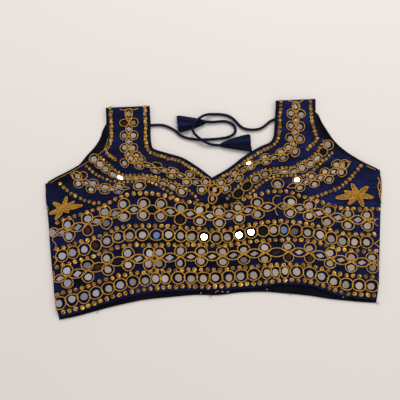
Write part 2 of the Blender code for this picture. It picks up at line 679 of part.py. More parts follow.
def edge_route(path, side):
    """The line of a piping outside an edge, one clear gap off each of the edge's straight stretches."""
    run = np.diff(path, axis=0)
    run /= np.linalg.norm(run, axis=1)[:, None]
    before, after = np.vstack([run[:1], run]), np.vstack([run, run[-1:]])
    middle = before + after
    middle /= np.linalg.norm(middle, axis=1)[:, None]
    spread = (PIPING_RADIUS + GAP) / (middle * before).sum(axis=1)
    out = np.column_stack([middle[:, 1], -middle[:, 0]]) * (side * spread)[:, None]
    return [tuple(point) for point in path + out]


def laid_route(route, outline):
    """Lift a piping's line to the middle of the front's wall, and round the turn past the fold."""
    x, y = np.array(route).T
    height = front_inside(x, y, outline)
    placed = []
    for px, py, pz in zip(x, y, height):
        if py > FOLD:
            placed.append(turned(px, py, PIPING_RADIUS))
        else:
            placed.append((px, py, pz + PIPING_RADIUS))
    return placed


def past_fold(point):
    """A piping's points in the turn of a strap and in its return."""
    return [(point[0], level) for level in strap_levels()[1:]]


def pipings():
    """The rolled piping of the neckline and of the two armholes."""
    outline = [point for point in front_outline() if point[1] <= FOLD + 0.01]
    material = finish("black piping", BLACK_PIPING, 0.5, 0.2)
    left = smooth_curve(FRONT_NECK_LEFT, OUTLINE_STEP)
    right = smooth_curve(FRONT_NECK_RIGHT, OUTLINE_STEP)
    line = edge_route(np.vstack([left, right[:-1][::-1]]), -1)
    route = past_fold(line[0])[::-1] + line + past_fold(line[-1])
    tube("neck_piping", laid_route(route, outline), PIPING_RADIUS, material)
    for name, edge, side in (("armhole_piping_left", FRONT_ARMHOLE_LEFT, 1),
                             ("armhole_piping_right", FRONT_ARMHOLE_RIGHT, -1)):
        line = edge_route(smooth_curve(edge, OUTLINE_STEP), side)[:-1]
        route = past_fold(line[0])[::-1] + line
        tube(name, laid_route(route, outline), PIPING_RADIUS, material)


def cords():
    """The two tie cords, lying on the table above the neckline."""
    material = finish("navy cord", NAVY_CORD, 0.5, 0.3)
    for name, route in (("dori_left", DORI_LEFT), ("dori_right", DORI_RIGHT)):
        points = smooth_curve(route, CORD_STEP)
        tube(name, [tuple(point) for point in points], CORD / 2, material)


def tassel_ring(root, along, side, share, half, height, shrink):
    """One ring of a tassel's section: round above and flat below, where it lies on the table."""
    middle = root + along * share
    half, tall = half - shrink, height / 2 - shrink
    ring = []
    for k in range(TASSEL_SIDES):
        angle = 2 * math.pi * k / TASSEL_SIDES
        z = height / 2 + tall * math.copysign(abs(math.sin(angle)) ** 0.7, math.sin(angle))
        spot = middle + side * half * math.cos(angle)
        ring.append((spot[0] * MM, spot[1] * MM, z * MM))
    return ring


def tassel(name, root_x, root_y, end_x, end_y, lean, material):
    """A flared, flattened tassel of folded cloth, closed at the cord and hollow at its open end."""
    root, end = np.array([root_x, root_y]), np.array([end_x, end_y])
    along = end - root
    side = np.array([-along[1], along[0]]) / np.linalg.norm(along)
    form = np.array(TASSEL_FORM)
    rings = []
    for share, half, height in form:
        skew = side * lean * share ** 3
        rings.append(tassel_ring(root + skew, along, side, share, half, height, 0.0))
    for share in np.linspace(1.0, 1.0 - TASSEL_DEPTH, 4):
        half, height = (np.interp(share, form[:, 0], form[:, k]) for k in (1, 2))
        skew = side * lean * share ** 3
        rings.append(tassel_ring(root + skew, along, side, share, half, height, TASSEL_WALL))
    model = bmesh.new()
    loops = [[model.verts.new(point) for point in ring] for ring in rings]
    for ring, after in zip(loops, loops[1:]):
        for k in range(TASSEL_SIDES):
            n = (k + 1) % TASSEL_SIDES
            model.faces.new((ring[k], ring[n], after[n], after[k]))
    model.faces.new(loops[0])
    model.faces.new(loops[-1])
    bmesh.ops.triangulate(model, faces=model.faces)
    bmesh.ops.recalc_face_normals(model, faces=model.faces)
    mesh = bpy.data.meshes.new(name)
    model.to_mesh(mesh)
    model.free()
    mesh.shade_smooth()
    mesh.set_sharp_from_angle(angle=math.radians(40))
    mesh.materials.append(material)
    item = bpy.data.objects.new(name, mesh)
    bpy.context.collection.objects.link(item)


def tassels():
    """The tassels at the ends of the two cords."""
    material = finish("navy tassel", NAVY_SILK, 0.5, 0.3)
    for name, root_x, root_y, end_x, end_y, lean in TASSELS:
        tassel(name, root_x, root_y, end_x, end_y, lean, material)


def build():
    """Build the whole blouse."""
    clear_scene()
    back_panel()
    front_panel()
    pipings()
    cords()
    tassels()


build()
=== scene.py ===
"""A sleeveless blouse of navy silk with mirror work, laid flat on a pale table with its front up.

Tables are in millimetres in the row frame: X across the blouse, Y from the hem to the shoulders, Z up.
The front is worked out in its pattern, which runs on past the fold at the top of each strap, and every
stitch, bead and mirror is laid on it there and then carried over the fold with the cloth.
"""

import logging
import math
from collections.abc import Sequence
from dataclasses import dataclass
from enum import Enum

import bpy
import numpy as np
from mathutils import Matrix, Vector
from mathutils.geometry import delaunay_2d_cdt


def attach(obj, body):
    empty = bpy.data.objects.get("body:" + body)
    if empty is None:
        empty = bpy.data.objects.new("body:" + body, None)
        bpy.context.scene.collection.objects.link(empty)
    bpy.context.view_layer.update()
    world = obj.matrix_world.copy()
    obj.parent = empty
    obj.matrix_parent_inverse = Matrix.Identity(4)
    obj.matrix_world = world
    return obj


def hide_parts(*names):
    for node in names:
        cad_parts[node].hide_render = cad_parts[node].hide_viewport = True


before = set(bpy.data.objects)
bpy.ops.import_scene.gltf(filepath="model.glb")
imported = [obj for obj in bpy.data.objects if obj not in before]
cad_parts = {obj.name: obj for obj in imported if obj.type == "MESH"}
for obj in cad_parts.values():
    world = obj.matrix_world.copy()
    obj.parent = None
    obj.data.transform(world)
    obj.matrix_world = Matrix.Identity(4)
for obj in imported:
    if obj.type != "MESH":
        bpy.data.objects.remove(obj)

logging.basicConfig(level=logging.INFO, format="%(message)s")
log = logging.getLogger("blouse")

MM = 0.001
Array = np.ndarray
Route = tuple[tuple[float, ...], ...]
Socket = bpy.types.NodeSocket

# Edges of the panels, the same as in the part's source. Hem: across, front edge, back edge.
HEM: Route = (
    (-199.0, -133.0, -136.0), (-182.0, -130.0, -133.5), (-163.0, -125.5, -129.5), (-139.0, -118.5, -124.0),
    (-115.0, -113.0, -119.5), (-92.0, -108.5, -116.0), (-60.0, -107.0, -114.0), (-28.0, -108.0, -112.7),
    (0.0, -108.3, -114.0), (28.0, -107.7, -112.0), (56.0, -106.0, -112.3), (75.0, -104.0, -114.2),
    (97.0, -105.5, -117.0), (117.0, -108.0, -120.0), (137.0, -116.5, -124.0), (157.0, -122.5, -127.0),
    (182.0, -126.3, -130.2), (196.5, -128.0, -131.5),
)
# Side seams: along, left, right.
SIDES: Route = (
    (-108.0, -204.3, 201.2), (-85.0, -206.5, 204.0), (-45.0, -210.5, 209.0), (-13.0, -212.8, 213.0),
    (17.0, -216.5, 217.3),
)
FOLD = 133.35
FRONT_ARMHOLE_LEFT: Route = (
    (-135.0, FOLD), (-135.0, 115.0), (-135.0, 95.0), (-140.0, 81.0), (-148.0, 73.0),
    (-161.0, 64.5), (-173.0, 57.5), (-187.0, 50.0), (-203.0, 42.5), (-216.5, 35.0),
)
FRONT_ARMHOLE_RIGHT: Route = (
    (138.6, FOLD), (137.6, 118.0), (139.5, 103.0), (143.0, 89.0), (150.5, 77.0),
    (160.0, 67.5), (171.0, 60.0), (183.0, 53.5), (198.5, 44.0), (216.5, 34.5),
)
BACK_ARMHOLE_LEFT: Route = (
    (-134.0, 121.35), (-142.0, 106.8), (-146.2, 94.7), (-153.7, 83.0), (-163.9, 72.3),
    (-174.0, 60.5), (-187.5, 53.0), (-204.0, 45.0), (-218.0, 36.5),
)
BACK_ARMHOLE_RIGHT: Route = (
    (137.0, 121.35), (143.6, 115.0), (147.6, 104.6), (154.9, 90.4), (162.2, 78.0),
    (172.8, 66.4), (184.0, 57.4), (199.5, 47.0), (218.0, 36.5),
)
NECK_POINT = (-1.3, 32.8)
FRONT_NECK_LEFT: Route = (
    (-81.6, FOLD), (-80.9, 110.0), (-81.4, 95.5), (-79.4, 79.0), (-73.0, 73.6),
    (-55.0, 67.4), (-38.6, 61.4), (-22.5, 50.6), (-11.3, 41.4), NECK_POINT,
)
FRONT_NECK_RIGHT: Route = (
    (90.6, FOLD), (88.4, 116.0), (84.6, 88.0), (78.4, 77.8), (66.0, 72.6),
    (52.4, 65.6), (40.4, 58.2), (26.5, 48.0), (14.7, 41.0), NECK_POINT,
)
BACK_NECK: Route = (
    (-83.0, 121.35), (-82.4, 95.0), (-80.5, 70.0), (-74.0, 38.0), (-60.0, 2.0), (-36.0, -30.0),
    (0.0, -42.0), (36.0, -30.0), (60.0, 2.0), (74.0, 38.0), (82.0, 70.0), (86.5, 92.0), (91.0, 121.35),
)

# Mounds of the front: across, along, reach across, reach along, height.
MOUNDS: Route = (
    (-98.0, 4.0, 66.0, 40.0, 4.4), (94.0, 2.0, 62.0, 38.0, 4.2), (-112.0, 62.0, 42.0, 24.0, 3.0),
    (112.0, 62.0, 42.0, 24.0, 3.0), (0.0, -62.0, 120.0, 26.0, 2.0), (-150.0, -60.0, 60.0, 34.0, 1.6),
    (150.0, -60.0, 60.0, 34.0, 1.6),
)
# Creases of the front: start, end, depth, half width. The first six also flatten the mounds.
BUST_CREASES = 6
CREASES: Route = (
    (-142.0, 50.0, -118.0, 39.0, 1.4, 6.0), (-118.0, 39.0, -70.0, 35.0, 2.2, 6.0),
    (-70.0, 35.0, -44.0, 20.0, 1.5, 6.0), (130.0, 50.0, 100.0, 38.5, 1.3, 6.0),
    (100.0, 38.5, 68.0, 36.0, 1.8, 6.0), (68.0, 36.0, 44.0, 22.0, 1.3, 6.0),
    (-80.0, -106.0, -81.0, 14.0, 1.0, 4.0), (75.0, -104.0, 74.0, 10.0, 1.0, 4.0),
    (-108.0, -46.0, -30.0, -50.0, 1.0, 5.0), (-30.0, -50.0, 42.0, -49.0, 1.2, 5.0),
    (-84.0, -82.0, -46.0, -83.0, 0.9, 4.0), (28.0, -71.0, 70.0, -71.0, 0.9, 4.0),
    (104.0, -80.0, 132.0, -83.0, 0.9, 4.0), (-96.0, 56.0, -62.0, 44.0, 1.0, 5.0),
    (92.0, 58.0, 40.0, 46.0, 1.0, 5.0),
)
# Wrinkles of the silk: height, reach along the rows and columns of the net, seed.
WRINKLES = ((0.16, (26.0, 40.0), 3), (0.12, (9.0, 15.0), 4), (0.10, (7.0, 45.0), 5))
# Ledges, where the upper cloth hangs a little over the lower: start, end, drop, width.
LEDGES: Route = (
    (-112.0, -45.0, -20.0, -50.5, 1.1, 1.6), (-20.0, -50.5, 44.0, -48.5, 1.2, 1.6),
    (20.0, -72.0, 72.0, -68.5, 1.0, 1.6), (-128.0, 41.0, -72.0, 36.5, 1.1, 2.2),
    (66.0, 38.0, 104.0, 40.0, 1.0, 2.2), (-84.0, 50.5, -52.0, 40.5, 0.9, 2.0),
    (84.0, 56.5, 44.0, 46.0, 0.9, 2.0), (-106.0, 6.0, -66.0, 8.0, 0.7, 2.0),
)

# Rows of the lower front: across, the dots' row at the hem, the dots' row at the top.
ROW_EDGES: Route = (
    (-212.0, -129.0, -18.0), (-188.0, -125.5, -10.5), (-161.0, -119.6, -3.4), (-141.0, -113.0, 3.5),
    (-120.0, -108.0, 14.0), (-96.0, -103.5, 18.0), (-64.0, -101.3, 14.0), (-43.0, -101.3, 6.5),
    (-21.0, -102.5, 2.0), (1.0, -102.6, -3.6), (22.0, -102.0, -1.0), (40.0, -101.4, 5.5),
    (60.0, -99.8, 11.0), (86.0, -99.0, 13.4), (108.0, -100.4, 6.7), (128.0, -106.5, 0.0),
    (153.0, -116.5, -9.3), (178.0, -120.2, -13.5), (210.0, -123.0, -14.8),
)
# Chains of single mirrors: share of the height, sag at the darts, first, pitch, count, then each dart's
# place and tuck.
CHAIN_ROWS: Route = (
    (0.105, 0.01, -198.0, 15.8, 27, -76.0, 6.0, 74.0, 9.0),
    (0.61, 0.05, -195.0, 15.1, 27, -84.0, -3.0, 75.0, 4.3),
)
# Rows of pairs, the same columns, then how open the cloth lies on the left and on the right.
PAIR_ROWS: Route = (
    (0.37, 0.06, -188.0, 26.6, 16, -80.0, 14.5, 75.0, -3.0, 0.97, 0.84),
    (0.87, 0.04, -186.0, 25.0, 17, -80.0, 3.0, 87.5, 8.5, 0.98, 0.92),
)
# Rows of gold dots: share of the height, sag at the darts.
DOT_ROWS: Route = ((0.0, 0.0), (0.205, 0.035), (0.505, 0.055), (0.70, 0.045), (1.0, 0.0))

# Bands of the upper front, as stretches: pitch, then a route of across, along, how open the cloth lies.
# Bands of pairs have the size of their work against the lower rows' in front.
Stretches = tuple[tuple[float, Route], ...]
PAIR_BANDS: tuple[tuple[float, Stretches], ...] = (
    (0.80, ((17.3, ((-107.0, 113.5, 1.0), (-107.5, 78.0, 0.95), (-109.0, 61.5, 0.85))),
            (21.9, ((-93.0, 58.5, 0.75), (-72.0, 51.0, 0.6), (-52.5, 43.5, 0.6), (-32.0, 35.5, 0.85),
                    (-12.0, 25.0, 1.0))))),
    (0.80, ((16.7, ((113.5, 116.0, 1.0), (109.5, 80.5, 1.0), (104.0, 67.0, 0.9))),
            (21.9, ((91.0, 61.0, 0.75), (70.0, 56.5, 0.6), (49.5, 49.5, 0.5), (31.5, 37.5, 0.75),
                    (13.5, 23.5, 0.85))))),
    (0.84, ((17.6, ((-170.5, 39.5, 0.9), (-157.0, 31.0, 0.75), (-139.0, 26.0, 0.55), (-121.0, 25.5, 0.55))),)),
    (0.84, ((19.4, ((164.0, 40.5, 0.95), (148.0, 31.5, 0.85), (109.5, 21.5, 0.8))),)),
)
# Chains of single mirrors across the bust.
BUST_CHAINS: tuple[Stretches, ...] = (
    ((10.8, ((-153.5, 67.0, 1.0), (-139.0, 53.0, 0.9), (-121.0, 41.0, 0.55), (-109.0, 39.0, 0.35),
             (-88.0, 38.5, 0.32))),
     (13.3, ((-76.0, 36.5, 0.36), (-52.5, 26.0, 0.62), (-41.0, 18.0, 0.85)))),
    ((11.8, ((152.5, 72.0, 1.0), (135.5, 54.0, 0.7), (114.0, 41.5, 0.95), (103.5, 39.5, 0.55),
             (81.5, 39.0, 0.5))),
     (14.6, ((68.0, 37.0, 0.7), (55.0, 31.0, 0.8), (32.0, 13.0, 0.9)))),
)
# Dots beside the bust chains: side, distance from a closed chain, what it gains where the cloth lies open,
# pitch, dots' radius, and points past the chain's end.
CHAIN_DOTS: tuple[tuple[tuple[float, float, float, float, float, Route], ...], ...] = (
    ((1.0, 1.2, 6.4, 5.4, 2.1, ((-28.5, 6.5, 0.85), (-25.8, -0.5, 0.85))), (-1.0, -0.6, 15.0, 5.4, 2.2, ())),
    ((-1.0, 1.2, 6.4, 5.4, 2.1, ((22.8, 2.0, 0.9),)), (1.0, 0.6, 10.5, 5.6, 2.3, ())),
)
# Dots beside the neck's edge: distance in from it, pitch, radius on the left and on the right.
NECK_DOTS = (4.3, 4.9, 2.5, 2.35)
# Single mirrors: across, along, turn, long and short half sizes, ring's half sizes, diamond or round.
LONE_MIRRORS: Route = (
    (-106.9, 125.2, 90.0, 4.8, 3.9, 6.6, 5.0, 1), (114.2, 125.9, 90.0, 4.6, 3.6, 6.2, 5.0, 1),
    (-97.0, 69.0, -35.0, 3.8, 2.7, 6.4, 4.3, 1), (1.5, 18.8, 60.0, 5.2, 3.8, 8.0, 7.4, 1),
    (-1.6, 7.6, 75.0, 4.6, 3.0, 6.6, 5.6, 1), (-94.4, 28.3, 10.0, 4.8, 3.9, 7.8, 6.0, 0),
    (82.4, 23.4, 0.0, 5.0, 4.6, 7.6, 6.6, 0), (-175.5, 44.8, 130.0, 4.6, 3.6, 7.0, 5.2, 1),
    (170.0, 44.8, 50.0, 4.8, 3.8, 8.0, 5.4, 1), (-205.6, -27.0, 0.0, 4.5, 4.8, 5.8, 5.9, 0),
)
# Other lines of gold dots: pitch, dots' radius, and a route of across, along.
DOT_LINES: tuple[tuple[float, float, Route], ...] = (
    (4.9, 2.6, ((-131.0, 134.0), (-130.5, 95.0), (-133.0, 84.5), (-137.5, 78.0), (-134.5, 71.0),
                (-125.0, 64.0))),
    (4.9, 2.6, ((133.0, 131.0), (134.5, 101.5), (138.0, 82.5), (134.5, 75.5), (124.5, 67.5))),
    (6.4, 2.6, ((-202.0, 40.5), (-186.0, 24.5), (-162.0, 11.0), (-146.5, 7.5))),
    (6.2, 2.5, ((192.5, 42.5), (170.0, 20.5), (154.0, 12.0), (126.0, 3.5))),
)
# Single couched strands: hooks and ends. Across and along of each point.
STRANDS: tuple[Route, ...] = (
    ((-206.6, -33.5), (-206.8, -37.5), (-203.6, -40.6), (-202.4, -45.0), (-205.4, -50.2)),
    ((-206.0, -57.0), (-202.4, -60.6), (-201.4, -64.6)), ((-205.0, -68.4), (-202.2, -63.6), (-200.6, -59.0)),
    ((-205.0, -76.0), (-204.4, -84.0), (-203.6, -90.0)),
    ((-203.6, -112.0), (-202.4, -120.0), (-201.8, -125.0)),
    ((207.8, -27.4), (203.0, -27.6), (197.0, -28.6)), ((207.0, -36.4), (202.4, -33.0), (197.0, -29.6)),
    ((206.8, -53.0), (202.6, -56.8), (199.0, -58.4)), ((206.0, -63.4), (202.8, -60.0), (199.0, -57.6)),
    ((-119.0, 131.8), (-112.0, 130.4), (-106.9, 132.2), (-100.0, 130.6), (-94.2, 131.8)),
    ((103.8, 134.2), (109.0, 132.6), (114.0, 132.4), (119.6, 131.2), (124.0, 134.2)),
    ((214.6, 22.0), (211.8, 15.0), (213.0, 8.0), (215.0, 2.0)),
    ((215.2, 12.0), (212.6, 6.0), (213.4, -1.0), (214.2, -8.0)),
    ((212.8, 27.0), (215.0, 20.0), (215.4, 12.0)), ((-214.6, 8.0), (-213.0, 3.0), (-214.0, -2.0)),
    ((84.6, 6.6), (79.0, 7.2), (75.2, 3.2), (75.8, -3.0), (79.4, -5.6)),
    ((79.4, -5.6), (77.4, -10.0), (78.0, -14.4), (80.4, -17.6)),
)
# Routes of the two tie cords: across, along, height of the cord's middle.
DORI_LEFT: Route = (
    (-77.4, 109.6, 1.9), (-70.0, 109.6, 1.8), (-62.4, 108.8, 1.8), (-54.3, 105.6, 1.8), (-46.5, 100.6, 1.8),
    (-40.2, 94.4, 1.8), (-33.0, 90.8, 1.8), (-24.5, 88.4, 1.8), (-15.7, 87.3, 1.8), (-5.0, 87.0, 1.8),
    (6.0, 87.2, 1.8), (16.0, 87.9, 1.8), (24.0, 89.4, 1.8), (30.6, 93.2, 1.8), (33.0, 98.4, 1.8),
    (31.6, 103.6, 1.8), (27.4, 107.8, 1.8), (21.0, 110.4, 1.8), (13.0, 110.9, 1.8), (5.0, 110.4, 2.0),
    (-2.6, 110.8, 2.3),
)
DORI_RIGHT: Route = (
    (84.9, 110.4, 1.9), (80.0, 108.4, 1.8), (74.0, 103.8, 1.8), (67.0, 99.3, 1.8), (58.0, 97.6, 1.8),
    (49.0, 98.4, 1.8), (42.6, 100.8, 1.8), (38.4, 104.4, 1.8), (34.2, 109.6, 1.8), (29.2, 114.8, 1.8),
    (22.6, 118.6, 1.8), (14.5, 120.4, 1.8), (6.0, 121.0, 1.9), (-1.5, 120.6, 3.4), (-9.0, 117.8, 6.6),
    (-16.0, 112.6, 8.4), (-21.4, 106.4, 8.9), (-23.6, 100.2, 8.4), (-21.6, 94.6, 7.2), (-17.0, 89.6, 6.2),
    (-11.0, 84.8, 5.4), (-4.0, 81.2, 3.6), (2.4, 79.4, 2.5), (8.2, 78.7, 2.3),
)
# Leaves of the flowers: direction in degrees, length, half width.
FLOWER_LEFT: Route = (
    (72.0, 16.5, 2.9), (30.0, 17.5, 2.5), (7.0, 26.0, 3.2), (-33.0, 9.5, 2.6), (-125.0, 17.0, 3.1),
    (-161.0, 19.0, 3.1), (147.0, 15.5, 3.2),
)
FLOWER_RIGHT: Route = (
    (114.0, 16.5, 3.3), (36.0, 17.5, 3.5), (-12.0, 20.0, 3.5), (-70.0, 16.5, 3.3), (-139.0, 18.0, 3.2),
    (162.0, 18.5, 2.7), (-174.0, 29.5, 3.9),
)
# Places where the mirror and its ring are gone: across, along.
GONE: Route = ((78.0, 3.0), (78.0, -12.5), (-79.5, -2.5))


class Tone(Enum):
    """What one mirror shows: its tint, and whether it is tilted to catch the lamp."""

    PLAIN = (0.88, 0.83, 0.78)
    # A cooler tint: on the left a painted reflection of the room's cooler left, elsewhere on a few mirrors at
    # random.
    LAVENDER = (0.86, 0.85, 0.92)
    BRIGHT = (0.99, 0.98, 0.95)
    LIGHT = (1.00, 0.99, 0.96)
    DARK = (0.035, 0.028, 0.028)
    BROWN = (0.20, 0.10, 0.07)
    BLUE = (0.46, 0.62, 0.98)
    GREY = (0.52, 0.51, 0.55)


# Mirrors that differ from their neighbours: across, along.
MIRROR_TONES: dict[Tone, Route] = {
    Tone.BROWN: ((-152.0, -45.0), (-151.0, -77.0), (71.0, -62.5), (90.0, -71.0), (114.0, -75.0),
                 (-114.0, 113.6), (-166.0, 44.0), (-162.0, -29.0), (-53.5, -71.5)),
    Tone.BLUE: ((-76.0, -37.0), (88.0, -38.0), (-143.5, 20.0), (-125.0, 19.6)),
    Tone.LIGHT: ((-59.9, -38.1), (131.0, -46.0), (161.0, -53.0), (32.2, -20.5), (99.9, -2.5), (58.7, -57.2),
                 (53.9, 47.2), (-162.3, 25.9), (-54.4, 26.5), (-87.0, -56.5), (-16.0, -10.5), (132.0, -18.5)),
    Tone.BRIGHT: ((-13.6, -40.9), (29.9, -39.6), (44.6, -38.8), (45.2, 50.7), (-122.6, 40.6), (103.4, 27.7)),
    Tone.DARK: ((60.0, -38.0), (-44.0, -18.5), (-126.0, -69.5), (-68.0, 56.0), (143.6, 61.1), (42.3, 22.5),
                (32.1, 13.1), (-112.0, 25.6)),
    Tone.GREY: ((102.0, -41.0), (84.0, 44.6), (-143.0, -20.0), (-161.0, -72.0), (32.0, -70.0), (-131.0, -30.0)),
}
# Profile of a gold rosette: share of its radius, rise.
DOT_PROFILE: Route = ((1.0, -0.15), (1.02, 0.45), (0.84, 1.25), (0.52, 1.45), (0.18, 1.30))


# Small tools for curves and fields

def smooth_curve(points: Route | list | Array, step: float) -> Array:
    """Points about one step apart on a smooth curve through the given ones.

    Each stretch is the Catmull-Rom cubic through its two points and their two neighbours, and the
    curve is then read again at even lengths measured in plan.

    Args:
        points: The points that the curve goes through, two or three numbers each.
        step: The spacing wanted, in millimetres.

    Returns:
        One row of coordinates for each point of the curve.
    """
    knots = np.array(points, dtype=float)
    knots = np.vstack([2 * knots[0] - knots[1], knots, 2 * knots[-1] - knots[-2]])
    t = np.linspace(0.0, 1.0, 24, endpoint=False)[:, None]
    parts = []
    for a, b, c, d in zip(knots, knots[1:], knots[2:], knots[3:]):
        bend = 2 * a - 5 * b + 4 * c - d
        twist = -a + 3 * b - 3 * c + d
        parts.append(0.5 * (2 * b + (c - a) * t + bend * t ** 2 + twist * t ** 3))
    fine = np.vstack(parts + [knots[-2][None, :]])
    length = run_length(fine[:, :2])
    at = np.linspace(0.0, length[-1], max(2, round(length[-1] / step) + 1))
    return np.column_stack([np.interp(at, length, fine[:, k]) for k in range(fine.shape[1])])


def run_length(path: Array) -> Array:
    """Length run at each point of a path, from 0 at its start."""
    return np.concatenate([[0.0], np.cumsum(np.linalg.norm(np.diff(path, axis=0), axis=1))])


def ease(value: Array | float) -> Array:
    """Ease from 0 to 1 with level ends: 3v squared less 2v cubed."""
    value = np.clip(value, 0.0, 1.0)
    return value * value * (3 - 2 * value)


def stretch_distance(x: Array, y: Array, start: tuple, end: tuple) -> tuple[Array, Array, Array]:
    """Distance of points from a straight stretch.

    Args:
        x: Places across.
        y: Places along.
        start: The stretch's first point.
        end: Its last point.

    Returns:
        The distance, the share along the stretch, and the signed distance to its left.
    """
    run = np.subtract(end, start)
    share = np.clip(((x - start[0]) * run[0] + (y - start[1]) * run[1]) / run.dot(run), 0.0, 1.0)
    dx, dy = x - start[0] - share * run[0], y - start[1] - share * run[1]
    return np.hypot(dx, dy), share, (run[0] * dy - run[1] * dx) / np.linalg.norm(run)


def edge_distance(x: Array, y: Array, outline: Array) -> Array:
    """Distance of points from the nearest edge of a closed outline.

    Args:
        x: Places across.
        y: Places along.
        outline: The outline's points.

    Returns:
        The distances.
    """
    nearest = np.full(np.shape(x), np.inf)
    for start, end in zip(outline, np.roll(outline, -1, axis=0)):
        nearest = np.minimum(nearest, stretch_distance(x, y, start, end)[0])
    return nearest


def inside(x: Array, y: Array, outline: Array) -> Array:
    """Whether points lie inside a closed outline, by counting the edges to their right.

    Args:
        x: Places across.
        y: Places along.
        outline: The outline's points.

    Returns:
        True for each point inside.
    """
    crossings = np.zeros(np.shape(x), dtype=int)
    for (ax, ay), (bx, by) in zip(outline, np.roll(outline, -1, axis=0)):
        if ay != by:
            crossings += ((ay > y) != (by > y)) & (x < ax + (y - ay) * (bx - ax) / (by - ay))
    return crossings % 2 == 1


def soft_noise(rows: int, columns: int, reach: tuple[float, float], seed: int) -> Array:
    """A smooth random field with unit spread: white noise with its fine waves damped by a Gaussian.

    Args:
        rows: Number of rows.
        columns: Number of columns.
        reach: Size of the bumps along the rows and along the columns, in cells.
        seed: Seed of the random numbers.

    Returns:
        The field as an array of rows and columns.
    """
    noise = np.random.default_rng(seed).normal(size=(rows, columns))
    fy = np.fft.fftfreq(rows)[:, None] * reach[0]
    fx = np.fft.rfftfreq(columns)[None, :] * reach[1]
    field_values = np.fft.irfft2(np.fft.rfft2(noise) * np.exp(-2.0 * (fx ** 2 + fy ** 2)), s=(rows, columns))
    return field_values / field_values.std()


def side_step(path: Array, closed: bool) -> Array:
    """Unit steps to the left of each point of a path, from the line through its two neighbours.

    Args:
        path: The path's points, or those of several paths.
        closed: Whether the path is a ring.

    Returns:
        The steps, one for each point.
    """
    if closed:
        run = np.roll(path, -1, axis=-2) - np.roll(path, 1, axis=-2)
    else:
        run = np.gradient(path, axis=-2)
    run = unit(run)
    return np.stack([-run[..., 1], run[..., 0]], axis=-1)


def unit(vectors: Array) -> Array:
    """Vectors brought to length one, along the last axis."""
    return vectors / np.maximum(np.linalg.norm(vectors, axis=-1, keepdims=True), 1e-9)


def bell(distance: Array | float, reach: float) -> Array:
    """A bell curve: e to the power of minus the square of the distance's share of the reach."""
    return np.exp(-(distance / reach) ** 2)


def round_angles(count: int, shift: float = 0.0) -> Array:
    """Angles evenly round a circle, in radians, the first a share of a step on."""
    return 2 * math.pi * (np.arange(count) + shift) / count


def gaps_beside(places: Array) -> tuple[Array, Array]:
    """Gaps before and after each place of a row, the ends taking their one gap twice."""
    gaps = np.linalg.norm(np.diff(places, axis=0), axis=1)
    return np.concatenate([gaps[:1], gaps]), np.concatenate([gaps, gaps[-1:]])


def panel_edge(hem_column: int, right: Route, left: Route, step: float, top: list) -> Array:
    """A panel's closed edge, counter-clockwise from the left end of its hem.

    Args:
        hem_column: The hem table's column for the panel.
        right: The right armhole, from its top down.
        left: The left armhole, from its top down.
        step: Spacing of the points.
        top: The runs of points between the two side seams.

    Returns:
        The points of the edge.
    """
    hem = smooth_curve([(row[0], row[hem_column]) for row in HEM], step)
    right_seam = [hem[-1]] + [(row[2], row[0]) for row in SIDES] + [right[-1]]
    left_seam = [left[-1]] + [(row[1], row[0]) for row in SIDES[::-1]] + [hem[0]]
    runs = [hem[:-1], smooth_curve(right_seam, step)[:-1], *top, smooth_curve(left_seam, step)[:-1]]
    return np.vstack([np.array(run) for run in runs])


# Building meshes

@dataclass
class Patch:
    """Part of a mesh: points in millimetres, faces, the faces' corners on a flat map, and a tint."""

    points: Array
    faces: list[Array]
    corners: list[Array] | None = None
    tints: list[Array] | None = None


def net_faces(rows: int, columns: int, ring_rows: bool, ring_columns: bool) -> tuple[Array, Array]:
    """Quads of a net of rows and columns, closed into a ring either way or not.

    Args:
        rows: Number of rows of points.
        columns: Number of points in a row.
        ring_rows: Whether the last row joins the first.
        ring_columns: Whether the last point of a row joins its first.

    Returns:
        The points of each quad, and the row and column of each of its corners, not wrapped round.
    """
    i, j = np.indices((rows - (not ring_rows), columns - (not ring_columns))).reshape(2, -1)
    corner_rows = np.stack([i, i + 1, i + 1, i], axis=1)
    corner_columns = np.stack([j, j, j + 1, j + 1], axis=1)
    faces = (corner_rows % rows) * columns + corner_columns % columns
    return faces, np.stack([corner_rows, corner_columns], axis=-1)


def repeat_faces(faces: Array, stride: int, count: int) -> Array:
    """The same faces for each of a number of copies whose points follow each other."""
    return (faces[None] + np.arange(count)[:, None, None] * stride).reshape(-1, faces.shape[1])


def end_faces(rows: int, columns: int) -> Array:
    """The two faces that close the ends of a net whose rows are rings."""
    return np.array([np.arange(columns)[::-1], (rows - 1) * columns + np.arange(columns)])


